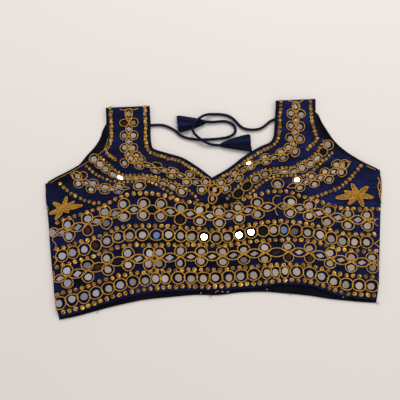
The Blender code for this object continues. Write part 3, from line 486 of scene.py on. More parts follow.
def make_piece(name: str, patches: list[Patch], materials: list[bpy.types.Material],
               smooth_angle: float = 40.0) -> bpy.types.Object:
    """A mesh object at the origin from patches, in metres.

    Args:
        name: The piece's name.
        patches: Its patches. One patch has one material, in order, and further ones use the last.
        materials: Its materials.
        smooth_angle: Edges sharper than this stay sharp, in degrees.

    Returns:
        The object.
    """
    points = np.vstack([patch.points for patch in patches]) * MM
    faces, corners, tints, slots, shift = [], [], [], [], 0
    for number, patch in enumerate(patches):
        for k, block in enumerate(patch.faces):
            faces += (block + shift).tolist()
            slots += [min(number, len(materials) - 1)] * len(block)
            size = block.shape[1]
            flat = patch.corners[k] if patch.corners else np.zeros((len(block), size, 2))
            corners.append(flat.reshape(-1, 2))
            tint = patch.tints[k] if patch.tints else np.ones((len(block), 3))
            tints.append(np.repeat(tint, size, axis=0))
        shift += len(patch.points)
    mesh = bpy.data.meshes.new(name)
    mesh.from_pydata(points.tolist(), [], faces)
    mesh.polygons.foreach_set("material_index", np.array(slots, dtype=np.int32))
    layer = mesh.uv_layers.new(name="lay")
    layer.data.foreach_set("uv", np.vstack(corners).astype(np.float32).ravel())
    colour = mesh.color_attributes.new("tint", "FLOAT_COLOR", "CORNER")
    rgba = np.column_stack([np.vstack(tints), np.ones(len(mesh.loops))]).astype(np.float32)
    colour.data.foreach_set("color", rgba.ravel())
    for material in materials:
        mesh.materials.append(material)
    mesh.shade_smooth()
    mesh.set_sharp_from_angle(angle=math.radians(smooth_angle))
    mesh.update()
    piece = bpy.data.objects.new(name, mesh)
    bpy.context.collection.objects.link(piece)
    return piece


def settle(piece: bpy.types.Object, slot: str, *nodes: str) -> bpy.types.Object:
    """Ride a finished piece on the part's one body, hide the solids that it stands for, and log its number of
    faces.

    Args:
        piece: The piece.
        slot: Not used.
        nodes: The solids that it takes the place of.

    Returns:
        The same piece.
    """
    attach(piece, "root")
    if nodes:
        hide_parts(*nodes)
    log.info("%s: %d faces", piece.name, len(piece.data.polygons))
    return piece


# Finishes

class Bench:
    """Nodes of one material or group, added and linked by name."""

    def __init__(self, tree: bpy.types.NodeTree) -> None:
        """Keep the tree that the nodes go into."""
        self.tree = tree

    def feed(self, node: bpy.types.Node, inputs: dict) -> bpy.types.Node:
        """Give a node's inputs their values, or link them to sockets.

        Args:
            node: The node.
            inputs: Values or output sockets, by the names or numbers of the inputs.

        Returns:
            The same node.
        """
        for key, value in inputs.items():
            if isinstance(value, Socket):
                self.tree.links.new(value, node.inputs[key])
            else:
                node.inputs[key].default_value = value
        return node

    def add(self, kind: str, inputs: dict | None = None, **settings: object) -> bpy.types.Node:
        """Add a node.

        Args:
            kind: The node's type, without ShaderNode.
            inputs: Values or output sockets for its inputs, by name or number.
            settings: The node's own properties.

        Returns:
            The node.
        """
        node = self.tree.nodes.new("ShaderNode" + kind)
        for key, value in settings.items():
            setattr(node, key, value)
        return self.feed(node, inputs or {})

    def math(self, operation: str, first: object, second: object = 0.0) -> Socket:
        """The result of a Math node on two values or sockets."""
        return self.add("Math", {0: first, 1: second}, operation=operation).outputs[0]

    def weigh(self, first: Socket, weight: float, second: Socket, other_weight: float) -> Socket:
        """Two sockets added up, each times its weight."""
        parts = [self.math("MULTIPLY", *pair) for pair in ((first, weight), (second, other_weight))]
        return self.math("ADD", *parts)

    def mix(self, share: object, low: object, high: object, blend: str = "MIX") -> Socket:
        """The result of a colour Mix node."""
        inputs = {"Factor": share, 6: low, 7: high}
        return self.add("Mix", inputs, data_type="RGBA", blend_type=blend).outputs[2]

    def tint(self) -> Socket:
        """The tint that each face carries."""
        return self.add("VertexColor", layer_name="tint").outputs["Color"]

    def span(self, value: Socket, low: float, high: float, start: float = 0.0, end: float = 1.0) -> Socket:
        """A value carried from the range between start and end to that between low and high."""
        return self.add("MapRange", {"Value": value, "From Min": start, "From Max": end, "To Min": low,
                                     "To Max": high}).outputs[0]

    def noise(self, scale: object, detail: float, roughness: float = 0.5,
              place: Socket | None = None) -> Socket:
        """Noise over the piece's own place, or over the place given."""
        place = self.add("TexCoord").outputs["Object"] if place is None else place
        return self.add("TexNoise", {"Vector": place, "Scale": scale, "Detail": detail,
                                     "Roughness": roughness}).outputs["Fac"]

    def bump(self, strength: float, distance: float, height: Socket) -> Socket:
        """The normal of a surface raised by a height."""
        return self.add("Bump", {"Strength": strength, "Distance": distance, "Height": height}).outputs[0]


def new_material(name: str) -> tuple[bpy.types.Material, Bench, bpy.types.Node]:
    """A material with its bench and its shader."""
    material = bpy.data.materials.new(name)
    material.use_nodes = True
    return material, Bench(material.node_tree), material.node_tree.nodes["Principled BSDF"]


def new_group(name: str, inputs: dict[str, float],
              outputs: tuple[str, ...]) -> tuple[Bench, dict, bpy.types.Node]:
    """A shader node group with float inputs and outputs.

    Args:
        name: The group's name.
        inputs: Its inputs and their usual values.
        outputs: Its outputs.

    Returns:
        The group's bench, the sockets of its inputs, and its output node.
    """
    tree = bpy.data.node_groups.new(name, "ShaderNodeTree")
    for label, value in inputs.items():
        tree.interface.new_socket(label, in_out="INPUT", socket_type="NodeSocketFloat").default_value = value
    for label in outputs:
        tree.interface.new_socket(label, in_out="OUTPUT", socket_type="NodeSocketFloat")
    return Bench(tree), tree.nodes.new("NodeGroupInput").outputs, tree.nodes.new("NodeGroupOutput")


def weave_group() -> bpy.types.NodeTree:
    """Plain weave with uneven threads.

    Height is the sum of two crossing sine waves, and Slub is noise drawn out along the weft.

    Returns:
        The group.
    """
    bench, given, result = new_group("weave", {"Thread": 0.0006, "Slub Size": 0.004}, ("Height", "Slub"))
    place = bench.add("TexCoord").outputs["Object"]
    split = bench.add("SeparateXYZ", {0: place}).outputs
    turns = bench.math("DIVIDE", 2 * math.pi, given["Thread"])
    wobble = bench.noise(scale=350.0, detail=1.0)
    warp, weft = (bench.math("SINE", bench.math("ADD", bench.math("MULTIPLY", split[k], turns), wobble))
                  for k in (0, 1))
    drawn = bench.add("Mapping", {"Vector": place, "Scale": (0.10, 1.0, 1.0)}).outputs[0]
    size = bench.math("DIVIDE", 1.0, given["Slub Size"])
    bench.feed(result, {"Height": bench.math("ADD", warp, weft),
                        "Slub": bench.noise(scale=size, detail=3.0, roughness=0.65, place=drawn)})
    return bench.tree


def twist_group() -> bpy.types.NodeTree:
    """Twisted thread on a piece's flat map, whose first number is the length along the thread in mm.

    Height is a sine that runs round the thread as it runs along it, and the second output is high in the
    grooves between the strands, where shade is painted.

    Returns:
        The group.
    """
    bench, given, result = new_group("twist", {"Pitch": 1.8, "Turns": 1.0}, ("Height", "Groove Shade"))
    lay = bench.add("SeparateXYZ", {0: bench.add("UVMap", uv_map="lay").outputs[0]}).outputs
    along = bench.math("DIVIDE", lay[0], given["Pitch"])
    round_it = bench.math("MULTIPLY", lay[1], given["Turns"])
    phase = bench.math("MULTIPLY", bench.math("ADD", along, round_it), 2 * math.pi)
    height = bench.math("ADD", bench.math("MULTIPLY", bench.math("SINE", phase), 0.5), 0.5)
    # High in the grooves between the strands: where shade is painted.
    valley = bench.math("POWER", bench.math("SUBTRACT", 1.0, height), 2.5)
    bench.feed(result, {"Height": height, "Groove Shade": valley})
    return bench.tree


@dataclass(frozen=True)
class ClothFinish:
    """Woven cloth: its colours in the light and in the hollows of the weave, and its sheen."""

    name: str
    lit: tuple[float, float, float]
    deep: tuple[float, float, float]
    sheen_tint: tuple[float, float, float]
    roughness: float = 0.5
    sheen: float = 0.3
    thread: float = 0.0006
    slub: float = 0.004
    relief: float = 0.00010

    def material(self, weave: bpy.types.NodeTree) -> bpy.types.Material:
        """The finish as a material.

        Args:
            weave: The weave group.

        Returns:
            The material.
        """
        material, bench, shader = new_material(self.name)
        cloth = bench.add("Group", {"Thread": self.thread, "Slub Size": self.slub}, node_tree=weave).outputs
        patches = bench.noise(scale=28.0, detail=4.0, roughness=0.6)
        share = bench.span(bench.weigh(cloth["Slub"], 0.80, patches, 0.80), 0.0, 1.0, start=0.60, end=0.98)
        height = bench.weigh(cloth["Height"], 0.3, cloth["Slub"], 2.2)
        colour = bench.mix(share, (*self.deep, 1.0), (*self.lit, 1.0))
        bench.feed(shader, {
            "Base Color": bench.mix(1.0, colour, bench.tint(), "MULTIPLY"),
            "Roughness": bench.span(share, self.roughness + 0.1, self.roughness - 0.08),
            "Normal": bench.bump(0.9, self.relief, height),
            "Sheen Weight": self.sheen, "Sheen Roughness": 0.45, "Sheen Tint": (*self.sheen_tint, 1.0),
            "Specular IOR Level": 0.06})
        return material


@dataclass(frozen=True)
class ThreadFinish:
    """Thread laid along a line: its colour on the strands, and a dark colour painted as shade in the grooves
    between them that also shows at random worn spots.
    """

    name: str
    strand: tuple[float, float, float]
    valley: tuple[float, float, float]
    metallic: float = 0.3
    roughness: float = 0.42
    pitch: float = 1.8
    turns: float = 1.0
    relief: float = 0.00035
    gloss: float = 0.25

    def material(self, twist: bpy.types.NodeTree) -> bpy.types.Material:
        """The finish as a material.

        Args:
            twist: The twist group.

        Returns:
            The material.
        """
        material, bench, shader = new_material(self.name)
        thread = bench.add("Group", {"Pitch": self.pitch, "Turns": self.turns}, node_tree=twist).outputs
        worn = bench.noise(scale=420.0, detail=2.0)
        # Dark in the grooves between strands, painted shade, and at random worn spots.
        share = bench.weigh(thread["Groove Shade"], 0.8, bench.math("SUBTRACT", worn, 0.45), 0.9)
        share = bench.add("Clamp", {"Value": share}).outputs[0]
        colour = bench.mix(share, (*self.strand, 1.0), (*self.valley, 1.0))
        bench.feed(shader, {
            "Base Color": bench.mix(1.0, colour, bench.tint(), "MULTIPLY"),
            "Roughness": bench.span(worn, self.roughness - 0.1, self.roughness + 0.15),
            "Normal": bench.bump(0.8, self.relief, thread["Height"]),
            "Metallic": self.metallic, "Specular IOR Level": self.gloss})
        return material


@dataclass(frozen=True)
class MirrorFinish:
    """Small glass mirrors, a little smudged, each with its own tint."""

    name: str = "mirror glass"
    roughness: float = 0.09
    dust: tuple[float, float, float] = (0.60, 0.56, 0.52)
    relief: float = 0.00028

    def material(self) -> bpy.types.Material:
        """The finish as a material.

        Returns:
            The material.
        """
        material, bench, shader = new_material(self.name)
        smudge = bench.noise(scale=260.0, detail=3.0)
        dusty = bench.mix(bench.math("MULTIPLY", smudge, 0.22), bench.tint(), (*self.dust, 1.0))
        bench.feed(shader, {
            "Base Color": bench.mix(0.75, dusty, bench.tint(), "MULTIPLY"),
            "Roughness": bench.span(smudge, self.roughness - 0.04, self.roughness + 0.12),
            "Normal": bench.bump(1.0, self.relief, bench.noise(scale=110.0, detail=1.0)),
            "Metallic": 1.0})
        return material


@dataclass
class Finishes:
    """Every material of the blouse."""

    silk: bpy.types.Material = None
    lining: bpy.types.Material = None
    piping: bpy.types.Material = None
    cord: bpy.types.Material = None
    ring_thread: bpy.types.Material = None
    dot_thread: bpy.types.Material = None
    leaf_fill: bpy.types.Material = None
    mirror: bpy.types.Material = None
    pale_thread: bpy.types.Material = None

    def __post_init__(self) -> None:
        """Build the shared groups and every material."""
        weave, twist = weave_group(), twist_group()
        self.silk = ClothFinish("navy silk", (0.0060, 0.0110, 0.066), (0.0016, 0.0020, 0.011),
                                (0.20, 0.26, 0.90), 0.50, 0.02).material(weave)
        self.lining = ClothFinish("black lining", (0.0036, 0.0036, 0.0080), (0.0012, 0.0012, 0.0030),
                                  (0.3, 0.3, 0.6), 0.75, 0.01, 0.0005, 0.003, 0.00006).material(weave)
        self.piping = ThreadFinish("black piping", (0.0042, 0.0046, 0.0125), (0.0016, 0.0018, 0.0045),
                                   0.0, 0.60, 4.5, 0.8, 0.00005, 0.10).material(twist)
        self.cord = ThreadFinish("navy cord", (0.0040, 0.0050, 0.026), (0.0016, 0.0020, 0.010),
                                 0.0, 0.55, 7.0, 0.5, 0.00010, 0.10).material(twist)
        self.ring_thread = ThreadFinish("gold ring thread", (0.78, 0.415, 0.050), (0.12, 0.042, 0.005),
                                        0.55, 0.30, 2.5, 1.0, 0.00050).material(twist)
        self.dot_thread = ThreadFinish("gold coil thread", (0.72, 0.430, 0.105), (0.11, 0.040, 0.006),
                                       0.65, 0.22, 1.5, 3.0, 0.00060).material(twist)
        self.leaf_fill = ThreadFinish("gold leaf beads", (0.94, 0.62, 0.130), (0.14, 0.060, 0.008),
                                      0.65, 0.26, 1.3, 4.0, 0.00060).material(twist)
        self.mirror = MirrorFinish().material()
        self.pale_thread = ThreadFinish("pale thread", (0.62, 0.60, 0.55), (0.35, 0.33, 0.30),
                                        0.0, 0.6, 1.2, 1.0, 0.00010).material(twist)


# The front's form

@dataclass
class FrontForm:
    """The shape that the front lies in, as fields over its pattern on a one-millimetre net."""

    wall: float = 1.8
    gap: float = 0.3
    cushion: float = 0.7
    puff_limit: float = 3.5
    edge_fade: float = 32.0
    thinnest: float = 1.0
    turn_outside: float = 2.65
    strap_return: float = 12.0
    rise: float = 15.0
    low: tuple[float, float] = (-224.0, -142.0)
    high: tuple[float, float] = (224.0, 156.0)

    def __post_init__(self) -> None:
        """Work out the edge and the nets of heights."""
        self.turn_inside = self.turn_outside - self.wall
        self.turn_middle = (self.turn_outside + self.turn_inside) / 2
        self.pattern_end = FOLD + self.turn_middle * math.pi + self.strap_return
        self.outline = self.front_edge(2.0)
        self.flat_outline = self.outline[self.outline[:, 1] <= FOLD + 0.01]
        x, y = np.meshgrid(*(np.arange(low, high + 1.0) for low, high in zip(self.low, self.high)))
        away = edge_distance(x, y, self.flat_outline)
        puff = self.puff(x, y, away)
        rise = self.turn_outside + self.turn_inside - self.wall - self.gap
        self.inner_net = self.wall + self.gap + puff + rise * ease((y - FOLD + self.rise) / self.rise)
        full = self.wall + self.cushion * puff / self.puff_limit
        near_edge = ease(away / 8.0)
        strap_calm = 1.0 - ease((y - 118.0) / 12.0)
        thick = np.maximum(self.thinnest, full - self.creases(x, y) * near_edge)
        self.outer_net = self.inner_net + thick + self.wrinkles(*x.shape) * near_edge * strap_calm
        self.outer_net += self.ledges(x, y) * near_edge

    def turn_levels(self, start: int) -> Array:
        """Lengths along the pattern round the turn of the fold, a tenth of it apart."""
        return FOLD + self.turn_middle * math.pi * np.arange(start, 11) / 10

    def front_edge(self, step: float) -> Array:
        """The front's edge opened out, counter-clockwise from the left end of its hem.

        Args:
            step: Spacing of the points.

        Returns:
            The points of the closed edge.
        """
        levels = list(self.turn_levels(1))
        levels += list(np.linspace(levels[-1], self.pattern_end, 7)[1:])

        def strap(first: float, last: float) -> list[tuple[float, float]]:
            """Points of one strap past the fold.

            Args:
                first: Where its first edge is, across.
                last: Where its last edge is.

            Returns:
                The points from the first edge across to the last.
            """
            columns = round(abs(first - last) / step)
            across = [(first + (last - first) * k / columns, levels[-1]) for k in range(1, columns)]
            return [(first, s) for s in levels] + across + [(last, s) for s in levels[::-1]]

        top = [smooth_curve(FRONT_ARMHOLE_RIGHT[::-1], step),
               strap(FRONT_ARMHOLE_RIGHT[0][0], FRONT_NECK_RIGHT[0][0]),
               smooth_curve(FRONT_NECK_RIGHT, step)[:-1], smooth_curve(FRONT_NECK_LEFT[::-1], step),
               strap(FRONT_NECK_LEFT[0][0], FRONT_ARMHOLE_LEFT[0][0]),
               smooth_curve(FRONT_ARMHOLE_LEFT, step)[:-1]]
        return panel_edge(1, FRONT_ARMHOLE_RIGHT, FRONT_ARMHOLE_LEFT, step, top)

    def puff(self, x: Array, y: Array, away: Array) -> Array:
        """How far the front stands off the back: Gaussian mounds that fade out towards the edge.

        Args:
            x: Places across.
            y: Places along.
            away: Their distance from the edge.

        Returns:
            The heights.
        """
        total = np.zeros(np.shape(x))
        for mid_x, mid_y, reach_x, reach_y, height in MOUNDS:
            total += height * bell(x - mid_x, reach_x) * bell(y - mid_y, reach_y)
        for ax, ay, bx, by, depth, _ in CREASES[:BUST_CREASES]:
            total -= 0.6 * depth * bell(stretch_distance(x, y, (ax, ay), (bx, by))[0], 12.0)
        return np.clip(total, 0.0, self.puff_limit) * ease(away / self.edge_fade)

    def creases(self, x: Array, y: Array) -> Array:
        """Depth of the creases: Gaussian grooves that run out at their ends.

        Args:
            x: Places across.
            y: Places along.

        Returns:
            The depths.
        """
        total = np.zeros(np.shape(x))
        for ax, ay, bx, by, depth, half in CREASES:
            away, share, _ = stretch_distance(x, y, (ax, ay), (bx, by))
            total = np.maximum(total, depth * (0.5 + 0.5 * np.sin(math.pi * share)) * bell(away, half))
        return total

    def ledges(self, x: Array, y: Array) -> Array:
        """Small steps in the cloth: up on the side towards the shoulders and down on the other.

        Each is a tanh of the signed distance, times a Gaussian that keeps it near its line.

        Args:
            x: Places across.
            y: Places along.

        Returns:
            The heights.
        """
        total = np.zeros(np.shape(x))
        for ax, ay, bx, by, drop, width in LEDGES:
            _, share, side = stretch_distance(x, y, (ax, ay), (bx, by))
            side = -side if bx < ax else side
            ends = np.sin(math.pi * np.clip(share, 0.0, 1.0)) ** 0.5
            total += 0.5 * drop * ends * np.tanh(side / width) * bell(side, 11.0)
        return total

    def wrinkles(self, rows: int, columns: int) -> Array:
        """Small unevenness of embroidered silk: broad, narrow and drawn-out smooth noise, from WRINKLES."""
        return sum(height * soft_noise(rows, columns, reach, seed) for height, reach, seed in WRINKLES)

    def read(self, net: Array, x: Array, y: Array) -> Array:
        """A net's height at places between its knots, mixed from the four around.

        Args:
            net: The net.
            x: Places across.
            y: Places along.

        Returns:
            The heights.
        """
        u = np.clip(x - self.low[0], 0.0, net.shape[1] - 1.001)
        v = np.clip(y - self.low[1], 0.0, net.shape[0] - 1.001)
        i, j = u.astype(int), v.astype(int)
        u, v = u - i, v - j
        bottom = net[j, i] * (1 - u) + net[j, i + 1] * u
        top = net[j + 1, i] * (1 - u) + net[j + 1, i + 1] * u
        return bottom * (1 - v) + top * v

    def turned(self, x: Array, y: Array, out: Array) -> Array:
        """Where points past the fold lie: round the turn, then back underneath.

        Args:
            x: Places across.
            y: Lengths along the pattern, past the fold.
            out: Distance out from the wall's inner side.

        Returns:
            Points in millimetres.
        """
        angle = np.clip((y - FOLD) / self.turn_middle, 0.0, math.pi)
        back = np.maximum(0.0, y - FOLD - self.turn_middle * math.pi)
        radius = self.turn_inside + out
        return np.stack([x, FOLD + radius * np.sin(angle) - back,
                         self.turn_outside + radius * np.cos(angle)], axis=-1)

    def lay(self, x: Array, y: Array, height: Array, out: Array) -> Array:
        """Points of the cloth: at their height, or turned at their distance out past the fold."""
        return np.where((y > FOLD)[..., None], self.turned(x, y, out), np.stack([x, y, height], axis=-1))

    def place(self, x: Array, y: Array, lift: Array | float) -> Array:
        """Points at a height above the front's outer side, carried over the fold with the cloth."""
        lift = np.broadcast_to(lift, np.shape(x))
        return self.lay(x, y, self.read(self.outer_net, x, np.minimum(y, FOLD)) + lift, self.wall + lift)

    def slope(self, x: Array, y: Array) -> Array:
        """Unit normals of the front's outer side, from its rise over two millimetres each way."""
        rise_x = (self.read(self.outer_net, x + 2, y) - self.read(self.outer_net, x - 2, y)) / 4
        rise_y = (self.read(self.outer_net, x, y + 2) - self.read(self.outer_net, x, y - 2)) / 4
        return unit(np.stack([-rise_x, -rise_y, np.ones_like(rise_x)], axis=-1))


def fill_outline(outline: Array, insets: tuple[float, ...], spacing: float,
                 extra: Array | None = None) -> tuple[Array, Array]:
    """Triangles that fill a closed outline, with rings of points near its edge for a rounded border.

    Args:
        outline: The edge, counter-clockwise.
        insets: Distances of the rings from the edge.
        spacing: Spacing of the staggered net inside.
        extra: More points to use inside, such as the rows of a fold, which keep the net off.

    Returns:
        The points, the outline's own first, and the triangles.
    """
    left = side_step(outline, True)
    rings = []
    for inset in insets:
        ring = outline + left * inset
        rings.append(ring[edge_distance(ring[:, 0], ring[:, 1], outline) > inset * 0.8])
    low, high = outline.min(axis=0), outline.max(axis=0)
    ys = np.arange(low[1], high[1], spacing * 0.87)
    x, y = np.meshgrid(np.arange(low[0], high[0], spacing), ys)
    x = x + (np.arange(len(ys)) % 2)[:, None] * spacing / 2
    x, y = x.ravel(), y.ravel()
    keep = inside(x, y, outline)
    x, y = x[keep], y[keep]
    keep = edge_distance(x, y, outline) > insets[-1] + spacing * 0.5
    if extra is not None:
        keep &= (y < extra[:, 1].min() - spacing * 0.5) | (y > extra[:, 1].max() + spacing * 0.4)
    loose = [np.column_stack([x[keep], y[keep]])] + rings + ([extra] if extra is not None else [])
    points = np.vstack([outline] + loose)
    edges = [(k, (k + 1) % len(outline)) for k in range(len(outline))]
    made = delaunay_2d_cdt([Vector(p) for p in points.tolist()], edges, [], 1, 1e-4)
    home = np.empty(len(outline), dtype=int)
    for index, source in enumerate(made[3]):
        for old in source:
            if old < len(outline):
                home[old] = index
    order = np.full(len(made[0]), -1)
    order[home] = np.arange(len(outline))
    order[order < 0] = np.arange(len(outline), len(made[0]))
    found = np.empty((len(made[0]), 2))
    found[order] = np.array([tuple(p) for p in made[0]])
    return found, order[np.array(made[2])]


def round_over(away: Array, radius: float) -> Array:
    """How far a rounded border has dropped at a distance from its edge: a quarter circle."""
    return radius * (1.0 - np.sqrt(1.0 - (1.0 - np.clip(away / radius, 0.0, 1.0)) ** 2))


@dataclass
class FrontCloth:
    """The front's silk, from its hem over the bust and over the folds of its straps."""

    form: FrontForm
    # Places and mean reaches of the thread rings, for the shade painted inside them.
    rings: Array
    spacing: float = 1.8
    insets: tuple[float, ...] = (0.12, 0.45, 0.95)

    def fold_rows(self, step: float) -> Array:
        """Rows of points across both straps for the turn of the fold.

        Args:
            step: Distance between two points of a row.

        Returns:
            The points in the pattern.
        """
        rows = []
        for low, high in ((FRONT_NECK_RIGHT[0][0], FRONT_ARMHOLE_RIGHT[0][0]),
                          (FRONT_ARMHOLE_LEFT[0][0], FRONT_NECK_LEFT[0][0])):
            x, y = np.meshgrid(np.arange(low + 1.6, high - 1.4, step), self.form.turn_levels(0))
            rows.append(np.column_stack([x.ravel(), y.ravel()]))
        return np.vstack(rows)

    def side(self, points: Array, outer: bool) -> Array:
        """One side of the cloth over its pattern, its border rounded over.

        Args:
            points: Places in the pattern.
            outer: Whether it is the side that shows.

        Returns:
            Points in millimetres.
        """
        form = self.form
        x, y = points.T
        drop = round_over(edge_distance(x, y, form.outline), form.wall / 2)
        inner = form.read(form.inner_net, x, np.minimum(y, FOLD))
        flat = form.read(form.outer_net, x, np.minimum(y, FOLD)) - drop if outer else inner + drop
        flat = np.where(drop > form.wall / 2 - 1e-4, inner + form.wall / 2, flat)
        return form.lay(x, y, flat, form.wall - drop if outer else drop)

    def shade(self, x: Array, y: Array) -> Array:
        """How the silk's colour varies: painted shade in its creases, across its middle, towards its lower left
        and inside the rings, painted light towards its right, and soft patches of tone that differ at random.

        Args:
            x: Places across.
            y: Places along.

        Returns:
            One tint for each place.
        """
        form = self.form
        rows, columns = form.outer_net.shape
        patches = form.read(0.6 * soft_noise(rows, columns, (30.0, 45.0), 8)
                            + 0.4 * soft_noise(rows, columns, (6.0, 16.0), 9), x, y)
        # Painted shade in the creases.
        crease_shade = form.creases(x, np.minimum(y, FOLD)) / 2.0
        # Painted shade across the middle of the front.
        middle = bell(x, 110.0) * bell(y + 45.0, 75.0)
        # Painted light towards the right and painted shade towards the left.
        sides = 0.18 * np.tanh((x - 60.0) / 80.0) * bell(y - 20.0, 90.0)
        # Painted shade towards the lower left, beside the left side seam.
        seam = 0.36 * (1 - ease((x + 205.0) / 85.0)) * (1 - ease((y - 10.0) / 50.0))
        # Painted shade on the cloth inside the thread rings.
        ringed = np.hypot(x[:, None] - self.rings[:, 0], y[:, None] - self.rings[:, 1]) / self.rings[:, 2]
        ring_shadow = 1.0 - 0.62 * (1.0 - ease((ringed.min(axis=1) - 0.85) / 0.25))
        value = np.clip(1.05 + 0.28 * patches + sides - 0.55 * crease_shade - 0.48 * middle - seam, 0.2, 1.7) * ring_shadow
        return value[:, None] * np.ones(3)

    def build(self, finishes: Finishes) -> bpy.types.Object:
        """The cloth as one closed piece.

        Args:
            finishes: All the finishes.

        Returns:
            The piece.
        """
        outer_points, outer_faces = fill_outline(self.form.outline, self.insets, self.spacing,
                                                 self.fold_rows(self.spacing))
        inner_points, inner_faces = fill_outline(self.form.outline, self.insets[-1:], 5.0, self.fold_rows(4.0))
        rim = len(self.form.outline)
        inner_faces = np.where(inner_faces >= rim, inner_faces + len(outer_points) - rim, inner_faces)[:, ::-1]
        points = np.vstack([self.side(outer_points, True), self.side(inner_points, False)[rim:]])
        middle = outer_points[outer_faces].mean(axis=1)
        # The outer faces carry the silk's painted shade and light from shade().
        patches = [Patch(points, [outer_faces], None, [self.shade(middle[:, 0], middle[:, 1])]),
                   Patch(np.zeros((0, 3)), [inner_faces - len(points)])]
        piece = make_piece("front_silk", patches, [finishes.silk, finishes.lining], 60.0)
        settle(piece, "navy_silk", "front_panel")
        return piece


@dataclass
class BackCloth:
    """The back, face down: its silk on the table and its lining up, with a stitched hem."""

    form: FrontForm
    thickness: float = 1.8
    hem_width: float = 4.0

    def outline(self, step: float) -> Array:
        """The back's edge, counter-clockwise from the left end of its hem.

        Args:
            step: Spacing of the points.

        Returns:
            The points of the closed edge.
        """
        right = smooth_curve(BACK_ARMHOLE_RIGHT[::-1], step)
        neck = smooth_curve(BACK_NECK[::-1], step)
        left = smooth_curve(BACK_ARMHOLE_LEFT, step)
        seam = FOLD - self.form.strap_return - self.form.gap
        right_top, left_top = ([(x, seam) for x in np.linspace(first[0], last[0], 24)]
                               for first, last in ((right[-1], neck[0]), (neck[-1], left[0])))
        return panel_edge(2, BACK_ARMHOLE_RIGHT, BACK_ARMHOLE_LEFT, step,
                          [right[:-1], right_top, neck[1:-1], left_top, left[1:-1]])

    def build(self, finishes: Finishes) -> bpy.types.Object:
        """The back as one closed piece, its lining raised over the turned-in hem and dipped at its stitches.

        Args:
            finishes: All the finishes.

        Returns:
            The piece.
        """
        outline = self.outline(2.2)
        points, faces = fill_outline(outline, (0.12, 0.45, 0.95, 2.4, 3.7, 4.3, 5.4), 4.0)
        x, y = points.T
        away = edge_distance(x, y, outline)
        drop = round_over(away, self.thickness / 2)
        hem = ease((-96.0 - y) / 8.0) + ease((np.abs(x) - 128.0) / 6.0) * ease((y - 30.0) / 8.0)
        welt = np.clip(hem, 0.0, 1.0) * (0.35 * ease((self.hem_width - away) / 0.8)
                                         - 0.30 * bell(away - self.hem_width, 0.5))
        rim = len(outline)
        upper = np.stack([x, y, self.thickness - drop + welt * (drop < 0.02)], axis=-1)
        everything = np.vstack([upper, np.stack([x, y, drop], axis=-1)[rim:]])
        low_faces = np.where(faces >= rim, faces + len(points) - rim, faces)[:, ::-1]
        patches = [Patch(everything, [faces]), Patch(np.zeros((0, 3)), [low_faces - len(everything)])]
        piece = make_piece("back_cloth", patches, [finishes.lining, finishes.silk], 60.0)
        settle(piece, "black_lining", "back_panel")
        return piece


# Tubes

def tube(path: Array, radii: Array | float, sides: int) -> Patch:
    """A round tube along a path in space, with closed ends.

    Each ring stands square to the path: its points are cosine times the level side step plus sine
    times the step that is square to both.

    Args:
        path: The middle line, in millimetres.
        radii: The radius, or one for each point.
        sides: Number of points in a ring.

    Returns:
        The tube as a patch, with the length run and the turn as its flat map.
    """
    run = unit(np.gradient(path, axis=0))
    side = unit(np.stack([-run[:, 1], run[:, 0], np.zeros(len(path))], axis=1))
    up = np.cross(run, side)
    up = up * np.where(up[:, 2:] < 0, -1.0, 1.0) if np.abs(up[:, 2]).min() > 0.2 else up
    angle = round_angles(sides)[None, :, None]
    ring = side[:, None] * np.cos(angle) + up[:, None] * np.sin(angle)
    points = (path[:, None] + ring * np.broadcast_to(radii, len(path))[:, None, None]).reshape(-1, 3)
    faces, corner = net_faces(len(path), sides, False, True)
    lay = np.stack([run_length(path)[corner[..., 0]], corner[..., 1] / sides], axis=-1)
    return Patch(points, [faces[:, ::-1], end_faces(len(path), sides)[:, ::-1]],
                 [lay[:, ::-1], np.zeros((2, sides, 2))])


def laid_thread(form: FrontForm, paths: Array, width: Array | float, height: float, closed: bool,
                lifts: Array | float = 0.0, tints: Array | float = 1.0, sides: int = 6) -> Patch:
    """Threads couched on the front, all of one number of points.

    Each thread is a low arch in section: half the width times cosine across, and the height times
    sine above the cloth, with its underside just in the cloth.

    Args:
        form: The front's form.
        paths: Paths in the pattern, as threads, points, two numbers.
        width: The thread's width, or one for each thread.
        height: Its height.
        closed: Whether each path is a ring.
        lifts: How much higher the thread runs, for each point.
        tints: One shade for each thread.
        sides: Number of points in a section.

    Returns:
        The threads as one patch.
    """
    count, rows = paths.shape[:2]
    angle = round_angles(sides, 0.5) - math.pi / 2
    across = np.cos(angle)[None] * np.broadcast_to(width, count)[:, None] / 2
    above = (np.sin(angle) * 0.6 + 0.4) * height
    spread = paths[:, :, None] + side_step(paths, closed)[:, :, None] * across[:, None, :, None]
    lift = np.broadcast_to(lifts, (count, rows))[:, :, None] + above[None, None]
    points = form.place(spread[..., 0], spread[..., 1], lift).reshape(-1, 3)
    faces, corner = net_faces(rows, sides, closed, True)
    steps = np.linalg.norm(np.roll(paths, -1, axis=1) - paths, axis=2)
    length = np.concatenate([np.zeros((count, 1)), np.cumsum(steps, axis=1)], axis=1)
    turn = np.broadcast_to(corner[..., 1] / sides, (count,) + corner.shape[:2])
    corners = [np.stack([length[:, corner[..., 0]], turn], axis=-1).reshape(-1, 4, 2)]
    blocks, shade = [repeat_faces(faces, rows * sides, count)], np.broadcast_to(tints, count)
    if not closed:
        blocks.append(repeat_faces(end_faces(rows, sides), rows * sides, count))
        corners.append(np.zeros((2 * count, sides, 2)))
    return Patch(points, blocks, corners,
                 [np.repeat(shade, len(block) // count)[:, None] * np.ones(3) for block in blocks])


# Mirror work

@dataclass
class Seat:
    """One mirror and the loop of thread round it."""

    diamond: bool
    x: float
    y: float
    turn: float
    long: float
    short: float
    ring_long: float = 0.0
    ring_short: float = 0.0
    thread: float = 1.25
    tone: Tone = Tone.PLAIN


